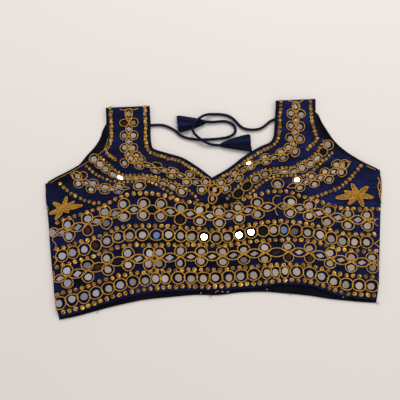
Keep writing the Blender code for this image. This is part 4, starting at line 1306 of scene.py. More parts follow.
@dataclass
class MirrorWork:
    """The mirrors of the front with their thread rings, crossing strands and gold dots."""

    form: FrontForm
    camera_at: tuple[float, float, float]
    lamp_at: tuple[float, float, float]
    round_radius: float = 4.8
    diamond_long: float = 6.0
    diamond_short: float = 4.6
    ring_radius: float = 7.75
    pair_reach: float = 7.5
    strand_reach: float = 5.5
    strand_steps: int = 14
    dot_radius: float = 3.0
    dot_pitch: float = 8.0
    dot_corners: int = 12
    thread_width: float = 1.5
    thread_height: float = 1.2
    glass: float = 1.0
    bevel: float = 0.46
    bevel_painted_shade: float = 0.28
    slip: float = 0.52
    lean: float = 0.016

    def __post_init__(self) -> None:
        """Lay out every mirror, strand and dot in the pattern."""
        self.random = np.random.default_rng(11)
        self.seats: list[Seat] = []
        self.strands: list[tuple[Array, float]] = []
        self.dots: list[tuple[float, float, float]] = []
        self.lay_chain_rows()
        self.lay_pair_rows()
        self.lay_bands()
        self.seats += [Seat(bool(diamond), x, y, math.radians(turn), *sizes, 1.3)
                       for x, y, turn, *sizes, diamond in LONE_MIRRORS]
        self.seats = [s for s in self.seats if min(math.hypot(s.x - x, s.y - y) for x, y in GONE) > 4.5]
        self.lay_dots()
        self.tone_mirrors()

    def row_path(self, share: float, sag: float) -> Array:
        """A row's curve across the lower front at a share of the way between its edges.

        Near each dart the share drops by the sag, times a bell curve of the distance from the dart.

        Args:
            share: Share of the way from the hem's row to the top row.
            sag: How much of the share is lost at a dart.

        Returns:
            Points a millimetre apart.
        """
        across = np.arange(-212.0, 210.0, 1.0)
        curves = (smooth_curve([(row[0], row[k]) for row in ROW_EDGES], 2.0).T for k in (1, 2))
        low, high = (np.interp(across, x, y) for x, y in curves)
        share = share - sag * sum(bell(across - dart, 42.0) for dart in (-78.0, 82.0))
        return np.column_stack([across, low + share * (high - low)])

    def walk(self, row: tuple[float, ...]) -> tuple[Array, Array]:
        """Places one pitch apart along a row, less the cloth that its darts take up.

        Args:
            row: The row of a table: share, sag, first place, pitch, count, and each dart's place and tuck.

        Returns:
            The places, and the row's direction at each, in radians.
        """
        share, sag, first, pitch, count, left, left_tuck, right, right_tuck = row
        across, along = self.row_path(share, sag).T
        tuck = sum(taken * ease((across - dart) / 14.0 + 0.5)
                   for dart, taken in ((left, left_tuck), (right, right_tuck)))
        opened = run_length(np.column_stack([across, along])) + tuck
        start = np.interp(first, across, opened)
        x = np.interp(start + pitch * np.arange(int(count)), opened, across)
        heading = np.arctan2(np.gradient(along), np.gradient(across))
        return np.column_stack([x, np.interp(x, across, along)]), np.interp(x, across, heading)

    def lay_chain_rows(self) -> None:
        """The two rows of single mirrors, ring beside ring."""
        for row in CHAIN_ROWS:
            places, turns = self.walk(row)
            for (x, y), turn, room in zip(places, turns, np.minimum(*gaps_beside(places)) / 2):
                radius = self.round_radius * self.random.uniform(0.94, 1.05)
                self.seats.append(Seat(False, x, y, turn, min(radius, room * 0.80), radius,
                                       min(room + 0.55, 8.6), self.ring_radius * 0.98))

    def lay_pair_rows(self) -> None:
        """The two rows of pairs, with a diamond in each eye between two crossings."""
        for *row, open_left, open_right in PAIR_ROWS:
            places, turns = self.walk(tuple(row))
            opens = open_left + (open_right - open_left) * ease((places[:, 0] + 50.0) / 40.0)
            before = places[0] - (places[1] - places[0]) * 0.72
            after = places[-1] + (places[-1] - places[-2]) * 0.42
            self.lay_pairs(places, turns * 0.3 - 0.04, opens, 1.0)
            self.seats.append(Seat(True, *(before + places[0]) / 2, turns[0], 5.4, 3.7))
            self.lay_strands(np.vstack([before, places, after]), np.ones(len(places) + 2), 1.0)

    def lay_pairs(self, places: Array, turns: Array, opens: Array, scale: float) -> None:
        """Two ringed mirrors beside each crossing and a diamond on the way to the next.

        Args:
            places: The crossings.
            turns: The band's direction at each.
            opens: How open the cloth lies at each, across the band.
            scale: Size of the band's work against the lower rows'.
        """
        small = scale < 1.0
        middling = 0.55 + 0.45 * scale
        ring = self.ring_radius * scale
        for (x, y), turn, opened in zip(places, turns, opens):
            for way in (-1.0, 1.0):
                reach = self.pair_reach * scale * opened * way
                size = self.random.uniform(0.94, 1.06)
                radius = self.round_radius * middling * size * (0.87 if small else 1.0)
                self.seats.append(Seat(False, x - math.sin(turn) * reach, y + math.cos(turn) * reach, turn,
                                       radius, radius * opened ** 0.85, ring * 0.98, ring * 0.96 * opened,
                                       1.05 if small else 1.25))
        for (x, y), (nx, ny), opened, after in zip(places, places[1:], opens, opens[1:]):
            span = math.hypot(nx - x, ny - y)
            if span < 15.5:
                continue
            short = self.diamond_short * middling * min(opened, after) ** 1.5 * min(1, span / 17)
            self.seats.append(Seat(True, (x + nx) / 2, (y + ny) / 2, math.atan2(ny - y, nx - x),
                                   min(self.diamond_long, span * (0.24 if small else 0.27)), short))

    def lay_strands(self, crossings: Array, opens: Array, scale: float) -> None:
        """Two strands that swing to opposite sides between crossings.

        Their distance from the band's middle is the reach times the sine of half a turn for each eye.

        Args:
            crossings: The crossings, with the band's two ends.
            opens: How open the cloth lies at each.
            scale: Size of the band's work.
        """
        knots = np.arange(len(crossings))
        t = np.linspace(0, knots[-1], knots[-1] * self.strand_steps + 1)
        smooth = np.column_stack([
            np.convolve(np.pad(np.interp(t, knots, column), 3, mode="reflect", reflect_type="odd"),
                        np.ones(7) / 7, mode="valid") for column in crossings.T])
        span = np.linalg.norm(np.diff(crossings, axis=0), axis=1)
        room = np.minimum(1.0, np.interp(t, knots[:-1] + 0.5, span) / (22.0 * scale))
        swing = self.strand_reach * scale * np.interp(t, knots, opens) * room * np.sin(math.pi * t)
        side = side_step(smooth, False)
        for way in (-1.0, 1.0):
            self.strands.append((self.keep_on(smooth + side * (swing * way)[:, None]),
                                 1.1 if scale < 1.0 else 1.3))

    def walk_band(self, stretches: Stretches) -> tuple[Array, Array]:
        """Places one pitch apart along each stretch, with how open it is there, and the band's turn at each."""
        rows = np.vstack([smooth_curve(route, pitch) for pitch, route in stretches])
        heading = np.gradient(rows[:, :2], axis=0)
        return rows, np.arctan2(heading[:, 1], heading[:, 0])

    def lay_bands(self) -> None:
        """The bands of the straps, the neckline, the bust and the sides."""
        for scale, stretches in PAIR_BANDS:
            rows, turns = self.walk_band(stretches)
            self.lay_pairs(rows[:, :2], turns, rows[:, 2], scale)
            ends = rows[[0, *range(len(rows)), -1]]
            ends[0, :2] -= (rows[1, :2] - rows[0, :2]) * 0.9
            ends[-1, :2] += (rows[-1, :2] - rows[-2, :2]) * 0.8
            self.lay_strands(ends[:, :2], ends[:, 2], scale)
        for stretches in BUST_CHAINS:
            rows, turns = self.walk_band(stretches)
            for (x, y, opened), turn, room in zip(rows, turns, sum(gaps_beside(rows[:, :2])) / 4):
                self.seats.append(Seat(False, x, y, turn, min(4.7, room * 0.78), 4.5 * opened,
                                       room + 0.7, 6.4 * opened, 1.05))

    def neck_lines(self) -> list[tuple[float, float, Array]]:
        """Lines of dots that run beside the neck's edge, down each strap to its point.

        Returns:
            Pitch, dots' radius and path of each line.
        """
        off, pitch, left_radius, right_radius = NECK_DOTS
        lines = []
        for edge, side, radius in ((FRONT_NECK_LEFT, -1.0, left_radius), (FRONT_NECK_RIGHT, 1.0, right_radius)):
            path = smooth_curve(edge, 1.0)
            lines.append((pitch, radius, path + side_step(path, False) * side * off))
        return lines

    def chain_lines(self) -> list[tuple[float, float, Array]]:
        """Lines of dots on both sides of the bust chains, nearer where a crease closes the chain.

        Returns:
            Pitch, dots' radius and path of each line.
        """
        lines = []
        for stretches, table in zip(BUST_CHAINS, CHAIN_DOTS):
            knots = [knot for _, route in stretches for knot in route]
            for side, closed, gain, pitch, radius, past in table:
                path = smooth_curve(knots + list(past), 1.0)
                off = side * (closed + gain * path[:, 2:])
                lines.append((pitch, radius, path[:, :2] + side_step(path[:, :2], False) * off))
        return lines

    def lay_dots(self) -> None:
        """Gold dots along the rows of the lower front and the lines of the upper front."""
        lines = [(self.dot_pitch, self.dot_radius, self.row_path(*row)[11:]) for row in DOT_ROWS]
        outline = self.form.flat_outline
        centres = np.array([(seat.x, seat.y, max(seat.short, 2.5)) for seat in self.seats])
        for pitch, radius, line in [*lines, *self.neck_lines(), *self.chain_lines(), *DOT_LINES]:
            path = smooth_curve(line, pitch)
            away = edge_distance(*path.T, outline)
            within = inside(*path.T, outline) | (path[:, 1] > FOLD)
            for (x, y), margin, good in zip(path, away, within):
                x += self.random.normal(0.0, 0.22)
                y += self.random.normal(0.0, 0.30)
                clear = np.hypot(centres[:, 0] - x, centres[:, 1] - y) > centres[:, 2] + radius * 0.45
                if good and clear.all() and (margin > radius + 0.4 or y > FOLD - 4.0):
                    self.dots.append((x, y, radius * self.random.uniform(0.90, 1.08)))

    def tone_mirrors(self) -> None:
        """Give every mirror its tone: cooler on the left as a painted reflection of the room, a few cooler at
        random, and the named ones their own.
        """
        for seat in self.seats:
            # Mirrors low on the left take a cooler tint, a painted reflection of the cooler left of the room; a
            # few others at random.
            if seat.x < -150.0 and seat.y < 60.0 or self.random.uniform() < 0.05:
                seat.tone = Tone.LAVENDER
        for tone, places in MIRROR_TONES.items():
            for x, y in places:
                nearest = min(self.seats, key=lambda seat: math.hypot(seat.x - x, seat.y - y))
                if math.hypot(nearest.x - x, nearest.y - y) < 7.5:
                    nearest.tone = tone
                if tone is Tone.BROWN and not nearest.diamond:
                    nearest.long *= 0.78
                    nearest.ring_long *= 0.84

    def mirror_patch(self, seats: list[Seat], corners: int) -> Patch:
        """Bevelled mirrors: a profile of three rings carried round each mirror's edge.

        Each point is the mirror's middle plus its two level axes times the ring's reach, plus its
        normal times the ring's height. The profile runs from the foot up the side, over the bevel. The
        edge is cut by hand: the reach of a round one wanders with two cosines, and a diamond is skewed.

        Args:
            seats: The mirrors.
            corners: Number of corners round each edge.

        Returns:
            All the mirrors as one patch.
        """
        count, diamond = len(seats), corners == 4
        x, y, turn, long, short = np.array([(s.x, s.y, s.turn, s.long, s.short) for s in seats]).T
        lean = self.random.normal(0.0, self.lean, size=(count, 2))
        slip = (self.random.normal(0.0, self.slip, size=(count, 2)) - 0.4).T
        slip = slip * np.where([s.ring_short > 0 for s in seats], np.minimum(1.0, short / 4.5), 0.3)
        x, y = x + slip[0], y + slip[1]
        middle = self.form.place(x, y, 0.0)
        normal = self.form.slope(x, np.minimum(y, FOLD - 2.0)) * np.array([0.3, 0.3, 1.0])
        normal[:, :2] += lean
        half = unit(np.array(self.camera_at) - middle) + unit(np.array(self.lamp_at) - middle)
        bright = np.array([s.tone is Tone.BRIGHT for s in seats])
        normal[bright] = half[bright]
        normal = unit(normal)
        first = np.stack([np.cos(turn), np.sin(turn), np.zeros(count)], axis=1)
        first = unit(first - normal * (first * normal).sum(axis=1, keepdims=True))
        second = np.cross(normal, first)
        angle = round_angles(corners, 0.0 if diamond else 0.5)
        insets, heights = np.array([0.0, 0.0, self.bevel]), np.array([-0.9, self.glass * 0.62, self.glass])
        cut = self.random.uniform(0, 2 * math.pi, size=(2, count, 1, 1))
        skew = self.random.normal(0.16, 0.16, size=(count, 1, 1)) * diamond
        hand = 1 + (0.035 * np.cos(2 * angle + cut[0]) + 0.03 * np.cos(3 * angle + cut[1])) * (not diamond)
        short = np.maximum(short[:, None] - insets, short[:, None] * 0.55)
        long = long[:, None] - insets * (1.5 if diamond else 1.0)
        v = short[:, :, None] * np.sin(angle) * hand
        u = long[:, :, None] * np.cos(angle) * hand + skew * v
        points = (middle[:, None, None] + first[:, None, None] * u[..., None]
                  + second[:, None, None] * v[..., None] + normal[:, None, None] * heights[:, None, None])
        faces, _ = net_faces(3, corners, False, True)
        tones = np.array([s.tone.value for s in seats]) * self.random.normal(0.95, 0.085, size=(count, 1))
        tones = tones.clip(0.02, 1.0)
        blocks = [repeat_faces(block, 3 * corners, count) for block in (faces[:, ::-1], end_faces(3, corners))]
        # Sides and bevels are tinted dark, painted shade at the mirrors' edges.
        tints = [np.repeat(tones * self.bevel_painted_shade, len(faces), axis=0), np.repeat(tones, 2, axis=0)]
        return Patch(points.reshape(-1, 3), blocks, None, tints)

    def ring_paths(self, seats: list[Seat], points: int) -> Array:
        """Rings of thread: ellipses, made a little uneven by hand.

        Args:
            seats: The mirrors inside them.
            points: Number of points in a ring.

        Returns:
            The rings, as threads, points, two numbers.
        """
        x, y, turn, long, short = np.array([(s.x, s.y, s.turn, s.ring_long, s.ring_short)
                                            for s in seats]).T[:, :, None]
        angle = round_angles(points)
        wander = self.random.normal(0.0, 0.03, size=(len(seats), 3, 1))
        wave = (1 + wander[:, 0] * np.cos(2 * angle) + wander[:, 1] * np.sin(3 * angle)
                + wander[:, 2] * np.cos(angle))
        u, v = long * np.cos(angle) * wave, short * np.sin(angle) * wave
        return self.keep_on(np.stack([x + u * np.cos(turn) - v * np.sin(turn),
                                      y + u * np.sin(turn) + v * np.cos(turn)], axis=-1))

    def keep_on(self, paths: Array) -> Array:
        """Points of thread held inside the side seams.

        Args:
            paths: Points in the pattern.

        Returns:
            The points, moved in where they passed a seam.
        """
        x, y = paths[..., 0], paths[..., 1]
        along, left, right = np.array(SIDES).T
        held = np.clip(x, np.interp(y, along, left) + 2.0, np.interp(y, along, right) - 2.0)
        return np.stack([np.where(y < 34.0, held, x), y], axis=-1)

    def dot_patch(self) -> Patch:
        """Rosettes of coiled gold thread: a turned profile with lobes and a spiral groove.

        Radius is the ring's share times one plus a lobe's cosine, and height is the profile's plus a sine of
        the angle and the share together. The tint paints shade in the groove, the low part of the same sine,
        and on the foot, light on the ridge and the top, a highlight on one side, and shade in the hollow at the
        middle.

        Returns:
            All the rosettes as one patch.
        """
        x, y, size = np.array(self.dots).T[:, :, None, None]
        count, turns, rings = len(x), self.dot_corners, len(DOT_PROFILE)
        share, rise = np.array(DOT_PROFILE).T[:, None, :, None]
        angle = round_angles(turns)
        spin = self.random.uniform(0, 2 * math.pi, size=(count, 1, 1))
        lobes = 1 + 0.05 * np.cos(5 * angle + spin) + 0.07 * np.cos(2 * angle - spin)
        radius = size * share * lobes
        spiral = np.sin(2 * angle + share * 8.0 + spin)
        height = rise * size / 2.9 + 0.26 * spiral * (rise > 0.4)
        points = self.form.place(x + radius * np.cos(angle), y + radius * np.sin(angle), height).reshape(-1, 3)
        faces, corner = net_faces(rings, turns, False, True)
        lay = np.stack([corner[..., 1] * 1.1, corner[..., 0] / rings], axis=-1)
        shade = self.random.choice([0.58, 0.82, 1.0, 1.25, 1.6], p=[0.15, 0.25, 0.3, 0.2, 0.1], size=count)
        shade = shade * self.random.uniform(0.92, 1.08, size=count)
        # Painted shade in the spiral groove and painted light on its ridge.
        groove = 0.5 * (spiral[:, :-1] + spiral[:, 1:])
        # A painted highlight on one side of each rosette, turned at random.
        side_highlight = 0.30 * np.cos(angle - 2 * spin)
        # Painted shade on each rosette's foot and painted light over its top.
        level = np.array([0.14, 0.58, 1.22, 1.18])[None, :, None]
        level = level * np.clip(0.84 + 0.62 * groove + side_highlight, 0.16, 1.55)
        tint = (shade[:, None] * level.reshape(count, -1)).reshape(-1, 1) * np.array([1.0, 0.97, 0.92])
        # The cap at each middle is painted dark, shade in its hollow.
        hollow = np.repeat(shade, 2)[:, None] * np.array([0.34, 0.26, 0.20])
        blocks = [repeat_faces(block, rings * turns, count)
                  for block in (faces[:, ::-1], end_faces(rings, turns))]
        return Patch(points, blocks, [np.tile(lay[:, ::-1], (count, 1, 1)), np.zeros((2 * count, turns, 2))],
                     [tint, hollow])

    def build(self, finishes: Finishes) -> list[bpy.types.Object]:
        """Every piece of the mirror work.

        Args:
            finishes: All the finishes.

        Returns:
            The pieces.
        """
        pieces = []
        for name, diamond, corners in (("mirrors_round", False, 20), ("mirrors_diamond", True, 4)):
            patch = self.mirror_patch([s for s in self.seats if s.diamond == diamond], corners)
            pieces.append(make_piece(name, [patch], [finishes.mirror], 20.0))
        ringed = [s for s in self.seats if s.ring_short > 0]
        shades = self.random.uniform(0.86, 1.08, size=len(ringed))
        widths = np.array([s.thread for s in ringed])
        rings = laid_thread(self.form, self.ring_paths(ringed, 26), widths, self.thread_height, True, lifts=0.1,
                            tints=shades)
        pieces.append(make_piece("thread_rings", [rings], [finishes.ring_thread], 80.0))
        patches = []
        for number, (strand, width) in enumerate(self.strands):
            over = 0.45 * np.cos(math.pi * np.arange(len(strand)) / self.strand_steps)
            over = over * (1 if number % 2 else -1)
            patches.append(laid_thread(self.form, strand[None], width, self.thread_height, False,
                                       lifts=(0.35 + over)[None]))
        patches += [laid_thread(self.form, smooth_curve(strand, 1.2)[None], self.thread_width * 0.72,
                                self.thread_height * 0.8, False) for strand in STRANDS]
        pieces.append(make_piece("thread_strands", patches, [finishes.ring_thread], 80.0))
        pieces.append(make_piece("gold_dots", [self.dot_patch()], [finishes.dot_thread], 80.0))
        return [settle(piece, "navy_silk") for piece in pieces]


@dataclass
class LeafFlower:
    """A flower of padded leaves: each an outline of thread round a beaded pad."""

    form: FrontForm
    name: str
    centre: tuple[float, float]
    leaves: Route
    height: float = 1.1
    rope: float = 1.15
    rows: int = 22
    columns: int = 9
    eye_radius: float = 1.3
    eye_points: int = 14

    def leaf(self, degrees: float, length: float, width: float) -> tuple[Patch, Patch, Patch]:
        """One leaf.

        Its half width at a share of its length is its width times the sine of half a turn, drawn
        towards its tip and notched like a saw. Its height is the pad's times one less the square of
        the way out, with beads in a chequer of two cosines.

        Args:
            degrees: The leaf's direction.
            length: Its length.
            width: Its half width.

        Returns:
            Its pad, its outline and its vein.
        """
        share, across = np.linspace(0.05, 0.98, self.rows), np.linspace(-1.0, 1.0, self.columns)
        way = math.radians(degrees)
        root, along = np.array(self.centre), length * np.array([math.cos(way), math.sin(way)])
        side = np.array([-along[1], along[0]]) / length
        half = (width - self.rope / 2) * np.sin(math.pi * share ** 0.85) ** 0.62
        half = half * (1 + 0.10 * np.cos(2 * math.pi * share * length / 4.0))
        spread = (root + along * share[:, None])[:, None] + side * (half[:, None] * across)[..., None]
        beads = np.cos(math.pi * share * length / 1.5)[:, None] * np.cos(2.4 * math.pi * across + 0.6)[None]
        bulge = (1 - across ** 2)[None] * np.sin(math.pi * share)[:, None] ** 0.5
        lifts = (self.height * bulge + 0.22 * beads + 0.1, np.full(beads.shape, -0.3))
        points = [self.form.place(spread[..., 0], spread[..., 1], lift).reshape(-1, 3) for lift in lifts]
        faces, corner = net_faces(self.rows, self.columns, False, False)
        net = np.arange(self.rows * self.columns).reshape(self.rows, self.columns)
        ring = np.concatenate([net[0], net[1:, -1], net[-1, -2::-1], net[-2:0:-1, 0]])
        after = np.roll(ring, -1)
        rim = np.stack([ring, after, after + net.size, ring + net.size], axis=1)
        lay = np.stack([corner[..., 0] * 1.0, corner[..., 1] / (self.columns - 1)], axis=-1)
        broad = np.cos(share * length / 2.3 + 5.0 * way)[:, None] * np.cos(2.0 * across + 3.0 * way)[None]
        # The pad's tint: a tone for each leaf and broad waves of tone along it, painted shade between the beads
        # and painted light on them.
        worn = 0.66 + 0.16 * math.cos(7.0 * way) + 0.58 * beads + 0.24 * broad
        shade = worn[corner[:, 0, 0], corner[:, 0, 1]].clip(0.12, 1.3)[:, None] * np.ones(3)
        # The pad's side wall is painted dark, shade in the gaps between the leaves.
        pad = Patch(np.vstack(points), [faces[:, ::-1], faces + net.size, rim],
                    [lay[:, ::-1], lay, np.zeros((len(rim), 4, 2))],
                    [shade, shade, np.full((len(rim), 3), 0.4)])
        edge = smooth_curve(np.vstack([spread[:, 0], spread[::-1, -1]]), 1.0)
        vein = smooth_curve(root + along * np.array([[0.15], [0.5], [0.85]]), 1.0)
        return (pad, laid_thread(self.form, edge[None], self.rope, 1.2, False, lifts=0.15, tints=1.15),
                laid_thread(self.form, vein[None], 0.7, 0.9, False, lifts=self.height + 0.1, tints=1.1))

    def build(self, finishes: Finishes) -> bpy.types.Object:
        """The flower as one piece: its leaves and the ring of thread at its eye.

        Args:
            finishes: All the finishes.

        Returns:
            The piece.
        """
        pads, edges, veins = zip(*(self.leaf(*leaf) for leaf in self.leaves))
        angle = round_angles(self.eye_points)
        eye = np.array(self.centre) + self.eye_radius * np.column_stack([np.cos(angle), np.sin(angle)])
        lines = [line for pair in zip(edges, veins) for line in pair]
        lines.append(laid_thread(self.form, eye[None], 1.4, 1.8, True, lifts=0.5))
        piece = make_piece(self.name, [merge(pads), merge(lines)], [finishes.leaf_fill, finishes.ring_thread],
                           70.0)
        return settle(piece, "navy_silk")


def merge(patches: Sequence[Patch]) -> Patch:
    """Several patches as one.

    Args:
        patches: The patches, in order.

    Returns:
        One patch with all their faces.
    """
    points, faces, corners, tints, shift = [], [], [], [], 0
    for patch in patches:
        points.append(patch.points)
        faces += [block + shift for block in patch.faces]
        corners += patch.corners
        tints += patch.tints or [np.ones((len(block), 3)) for block in patch.faces]
        shift += len(patch.points)
    return Patch(np.vstack(points), faces, corners, tints)


# Edges, cords and tassels

@dataclass
class Piping:
    """The rolled piping of the neckline and the armholes, and a fine gold line beside the armholes."""

    form: FrontForm
    radius: float = 1.18
    off_edge: float = 1.15
    step: float = 1.6
    sides: int = 10
    gold_off: float = 0.9

    def line(self, edge: Array, side: float, off: float) -> Array:
        """A line off an edge, in the pattern."""
        return edge + side_step(edge, False) * side * off

    def route(self, line: Array) -> Array:
        """A line of the pattern as points at the middle of the wall, carried over the fold.

        Args:
            line: The line in the pattern.

        Returns:
            Its points as laid.
        """
        x, y = line.T
        half = self.form.wall / 2
        inner = self.form.read(self.form.inner_net, x, np.minimum(y, FOLD))
        return self.form.lay(x, y, inner + half, np.full(len(x), half))

    def past_fold(self, x: float) -> Array:
        """Points of an edge past the fold, from its end underneath back up to the fold."""
        return np.array([(x, s) for s in np.arange(self.form.pattern_end - 0.4, FOLD + 0.3, -0.8)])

    def build(self, finishes: Finishes) -> list[bpy.types.Object]:
        """The three pipings, each in place of its solid.

        Args:
            finishes: All the finishes.

        Returns:
            The pieces.
        """
        left, right = (smooth_curve(edge, self.step) for edge in (FRONT_NECK_LEFT, FRONT_NECK_RIGHT))
        neck = self.line(np.vstack([left, right[:-1][::-1]]), 1.0, self.off_edge)
        neck = np.vstack([self.past_fold(neck[0, 0]), neck, self.past_fold(neck[-1, 0])[::-1]])
        pieces = [self.dress("neck_roll", neck, finishes, "neck_piping")]
        for name, edge, side, node in (
                ("armhole_roll_left", FRONT_ARMHOLE_LEFT, -1.0, "armhole_piping_left"),
                ("armhole_roll_right", FRONT_ARMHOLE_RIGHT, 1.0, "armhole_piping_right")):
            line = self.line(smooth_curve(edge, self.step), side, self.off_edge)[:-3]
            line = np.vstack([self.past_fold(line[0, 0]), line])
            pieces.append(self.dress(name, line, finishes, node))
        return pieces

    def dress(self, name: str, line: Array, finishes: Finishes, node: str) -> bpy.types.Object:
        """One piping as a tube, a little uneven where it is stitched.

        Args:
            name: The piece's name.
            line: Its line in the pattern.
            finishes: All the finishes.
            node: The solid that it stands for.

        Returns:
            The piece.
        """
        path = self.route(line)
        path[:, 2] = np.maximum(path[:, 2], self.radius * 1.07)
        uneven = 1 + 0.04 * np.sin(run_length(path) * 1.3) + 0.03 * np.sin(run_length(path) * 0.37)
        roll = tube(path, self.radius * uneven, self.sides)
        return settle(make_piece(name, [roll], [finishes.piping], 80.0), "black_piping", node)

    def gold_edge(self, finishes: Finishes) -> bpy.types.Object:
        """The fine gold line inside the edge of the armholes.

        Args:
            finishes: All the finishes.

        Returns:
            The piece.
        """
        patches = []
        for edge, side in ((FRONT_ARMHOLE_LEFT[2:], 1.0), (FRONT_ARMHOLE_RIGHT[8:], -1.0)):
            line = self.line(smooth_curve(edge, 1.5), side, self.gold_off)
            patches.append(laid_thread(self.form, line[None, 1:-4], 0.7, 0.6, False, lifts=-0.15))
        return settle(make_piece("gold_edge", patches, [finishes.ring_thread], 80.0), "navy_silk")


@dataclass
class TieCord:
    """A tie cord of the neck, along its route on the table, ending in a tassel."""

    name: str
    node: str
    route: Route
    diameter: float = 3.6
    under_strap: float = 1.6
    tuck: float = 5.0
    sides: int = 14

    def path(self) -> Array:
        """The cord's middle line, run on into its tassel and no lower than its own radius.

        Returns:
            The line's points in millimetres.
        """
        route = np.array(self.route)
        start = route[0] + unit(route[0] - route[1]) * self.under_strap
        end = route[-1] + unit(route[-1] - route[-2]) * self.tuck
        path = smooth_curve(np.vstack([start, route[1:], end]), 1.3)
        path[:, 2] = np.maximum(path[:, 2], self.diameter / 2)
        return path

    def build(self, finishes: Finishes, tassel: bpy.types.Object) -> bpy.types.Object:
        """The cord as a tube.

        Args:
            finishes: All the finishes.
            tassel: The piece at its far end; not used.

        Returns:
            The cord.
        """
        path = self.path()
        run = run_length(path)
        uneven = 1 + 0.02 * np.sin(run * 0.9) + 0.02 * np.sin(run * 0.31 + 1.0)
        cord = tube(path, self.diameter / 2 * uneven, self.sides)
        piece = settle(make_piece(self.name, [cord], [finishes.cord], 80.0), "navy_cord", self.node)
        return piece


@dataclass
class Tassel:
    """A flared, flattened tassel of folded silk, hollow at its open end."""

    name: str
    node: str
    root: tuple[float, float]
    end: tuple[float, float]
    lean: float
    rim: float
    pleats: int
    fray: int
    seed: int
    form: Route = (
        (0.00, 2.2, 4.2), (0.10, 3.8, 4.8), (0.35, 6.8, 5.8), (0.70, 10.0, 6.2), (0.93, 11.6, 6.2),
        (1.00, 11.0, 5.6),
    )
    wall: float = 0.9
    depth: float = 0.5
    around: int = 72

    def section(self, share: float, shrink: float) -> Array:
        """One ring: round above and flat below, its top in pleats that grow towards the open end.

        Args:
            share: Where the ring is along the length.
            shrink: How far it is drawn in from the outside.

        Returns:
            The ring's points in millimetres.
        """
        places, halves, talls = np.array(self.form).T
        half, tall = np.interp(share, places, halves), np.interp(share, places, talls)
        half += self.rim * bell(share - 0.95, 0.035)
        along = np.subtract(self.end, self.root)
        way = unit(along)
        side = np.array([-way[1], way[0]])
        angle = round_angles(self.around)
        wave = np.cos(self.pleats * angle + 2.0 * math.sin(3.1 * share) + self.seed)
        pleat = share * 0.42 * wave * np.maximum(0.0, np.sin(angle)) - 0.28 * bell(share - 0.88, 0.02)
        out = half - shrink + pleat * 0.5
        rise = tall / 2 - shrink + np.where(np.sin(angle) > 0, pleat, 0.0)
        middle = np.array(self.root) + along * share + side * self.lean * share ** 3
        bow = side[None] * (out * np.cos(angle))[:, None]
        slant = way * (0.6 * np.cos(2 * angle + self.seed) * share ** 6)[:, None]
        z = tall / 2 + rise * np.sign(np.sin(angle)) * np.abs(np.sin(angle)) ** 0.75
        return np.column_stack([middle + bow + slant, np.maximum(z, 0.02)])

    def build(self, finishes: Finishes) -> bpy.types.Object:
        """The tassel as one closed piece, with loose threads at its open end.

        Args:
            finishes: All the finishes.

        Returns:
            The piece.
        """
        outside = np.concatenate([np.linspace(0.0, 0.85, 26), np.linspace(0.87, 1.0, 12)])
        inside_shares = np.linspace(1.0, 1.0 - self.depth, 14)
        rings = np.array([self.section(share, 0.0) for share in outside]
                         + [self.section(share, self.wall) for share in inside_shares])
        faces, corner = net_faces(len(rings), self.around, False, True)
        lay = np.stack([corner[..., 0] * 1.0, corner[..., 1] / self.around], axis=-1)
        # The tassel's darker tone, with painted shade in its folds.
        tone_and_fold_shade = 0.52 + 0.38 * np.cos(self.pleats * round_angles(self.around, 0.5) + self.seed + 1.2)
        tint = np.tile(tone_and_fold_shade, len(faces) // self.around)[:, None] * np.ones(3)
        # Both end faces are painted dark: shade deep inside the open end and at the root under the cord.
        body = Patch(rings.reshape(-1, 3), [faces, end_faces(len(rings), self.around)],
                     [lay, np.zeros((2, self.around, 2))], [tint, np.full((2, 3), 0.3)])
        piece = make_piece(self.name, [body] + self.loose_threads(), [finishes.silk, finishes.cord], 60.0)
        facing = rings[3, 0, :2] - rings[3, self.around // 2, :2]
        along = np.subtract(self.end, self.root)
        if facing[0] * -along[1] + facing[1] * along[0] < 0:
            piece.data.flip_normals()
        return settle(piece, "navy_tassel", self.node)

    def loose_threads(self) -> list[Patch]:
        """Frayed threads that stand out of the open end.

        Returns:
            The threads as one patch, or none.
        """
        random = np.random.default_rng(self.seed)
        along = unit(np.subtract(self.end, self.root))
        rim = self.section(0.99, self.wall * 0.5)
        t = np.linspace(0.0, 1.0, 6)[:, None]
        patches = []
        for index in random.integers(0, self.around, self.fray):
            reach = random.uniform(1.2, 4.0)
            aim = np.append(along * reach, random.uniform(-0.6, 0.5)) + random.normal(0.0, 0.6, 3)
            path = rim[index] + aim * t + random.normal(0.0, 0.5, 3) * t ** 2
            path[:, 2] = np.maximum(path[:, 2], 0.15)
            patches.append(tube(path, np.linspace(0.14, 0.06, 6), 5))
        return [merge(patches)] if patches else []


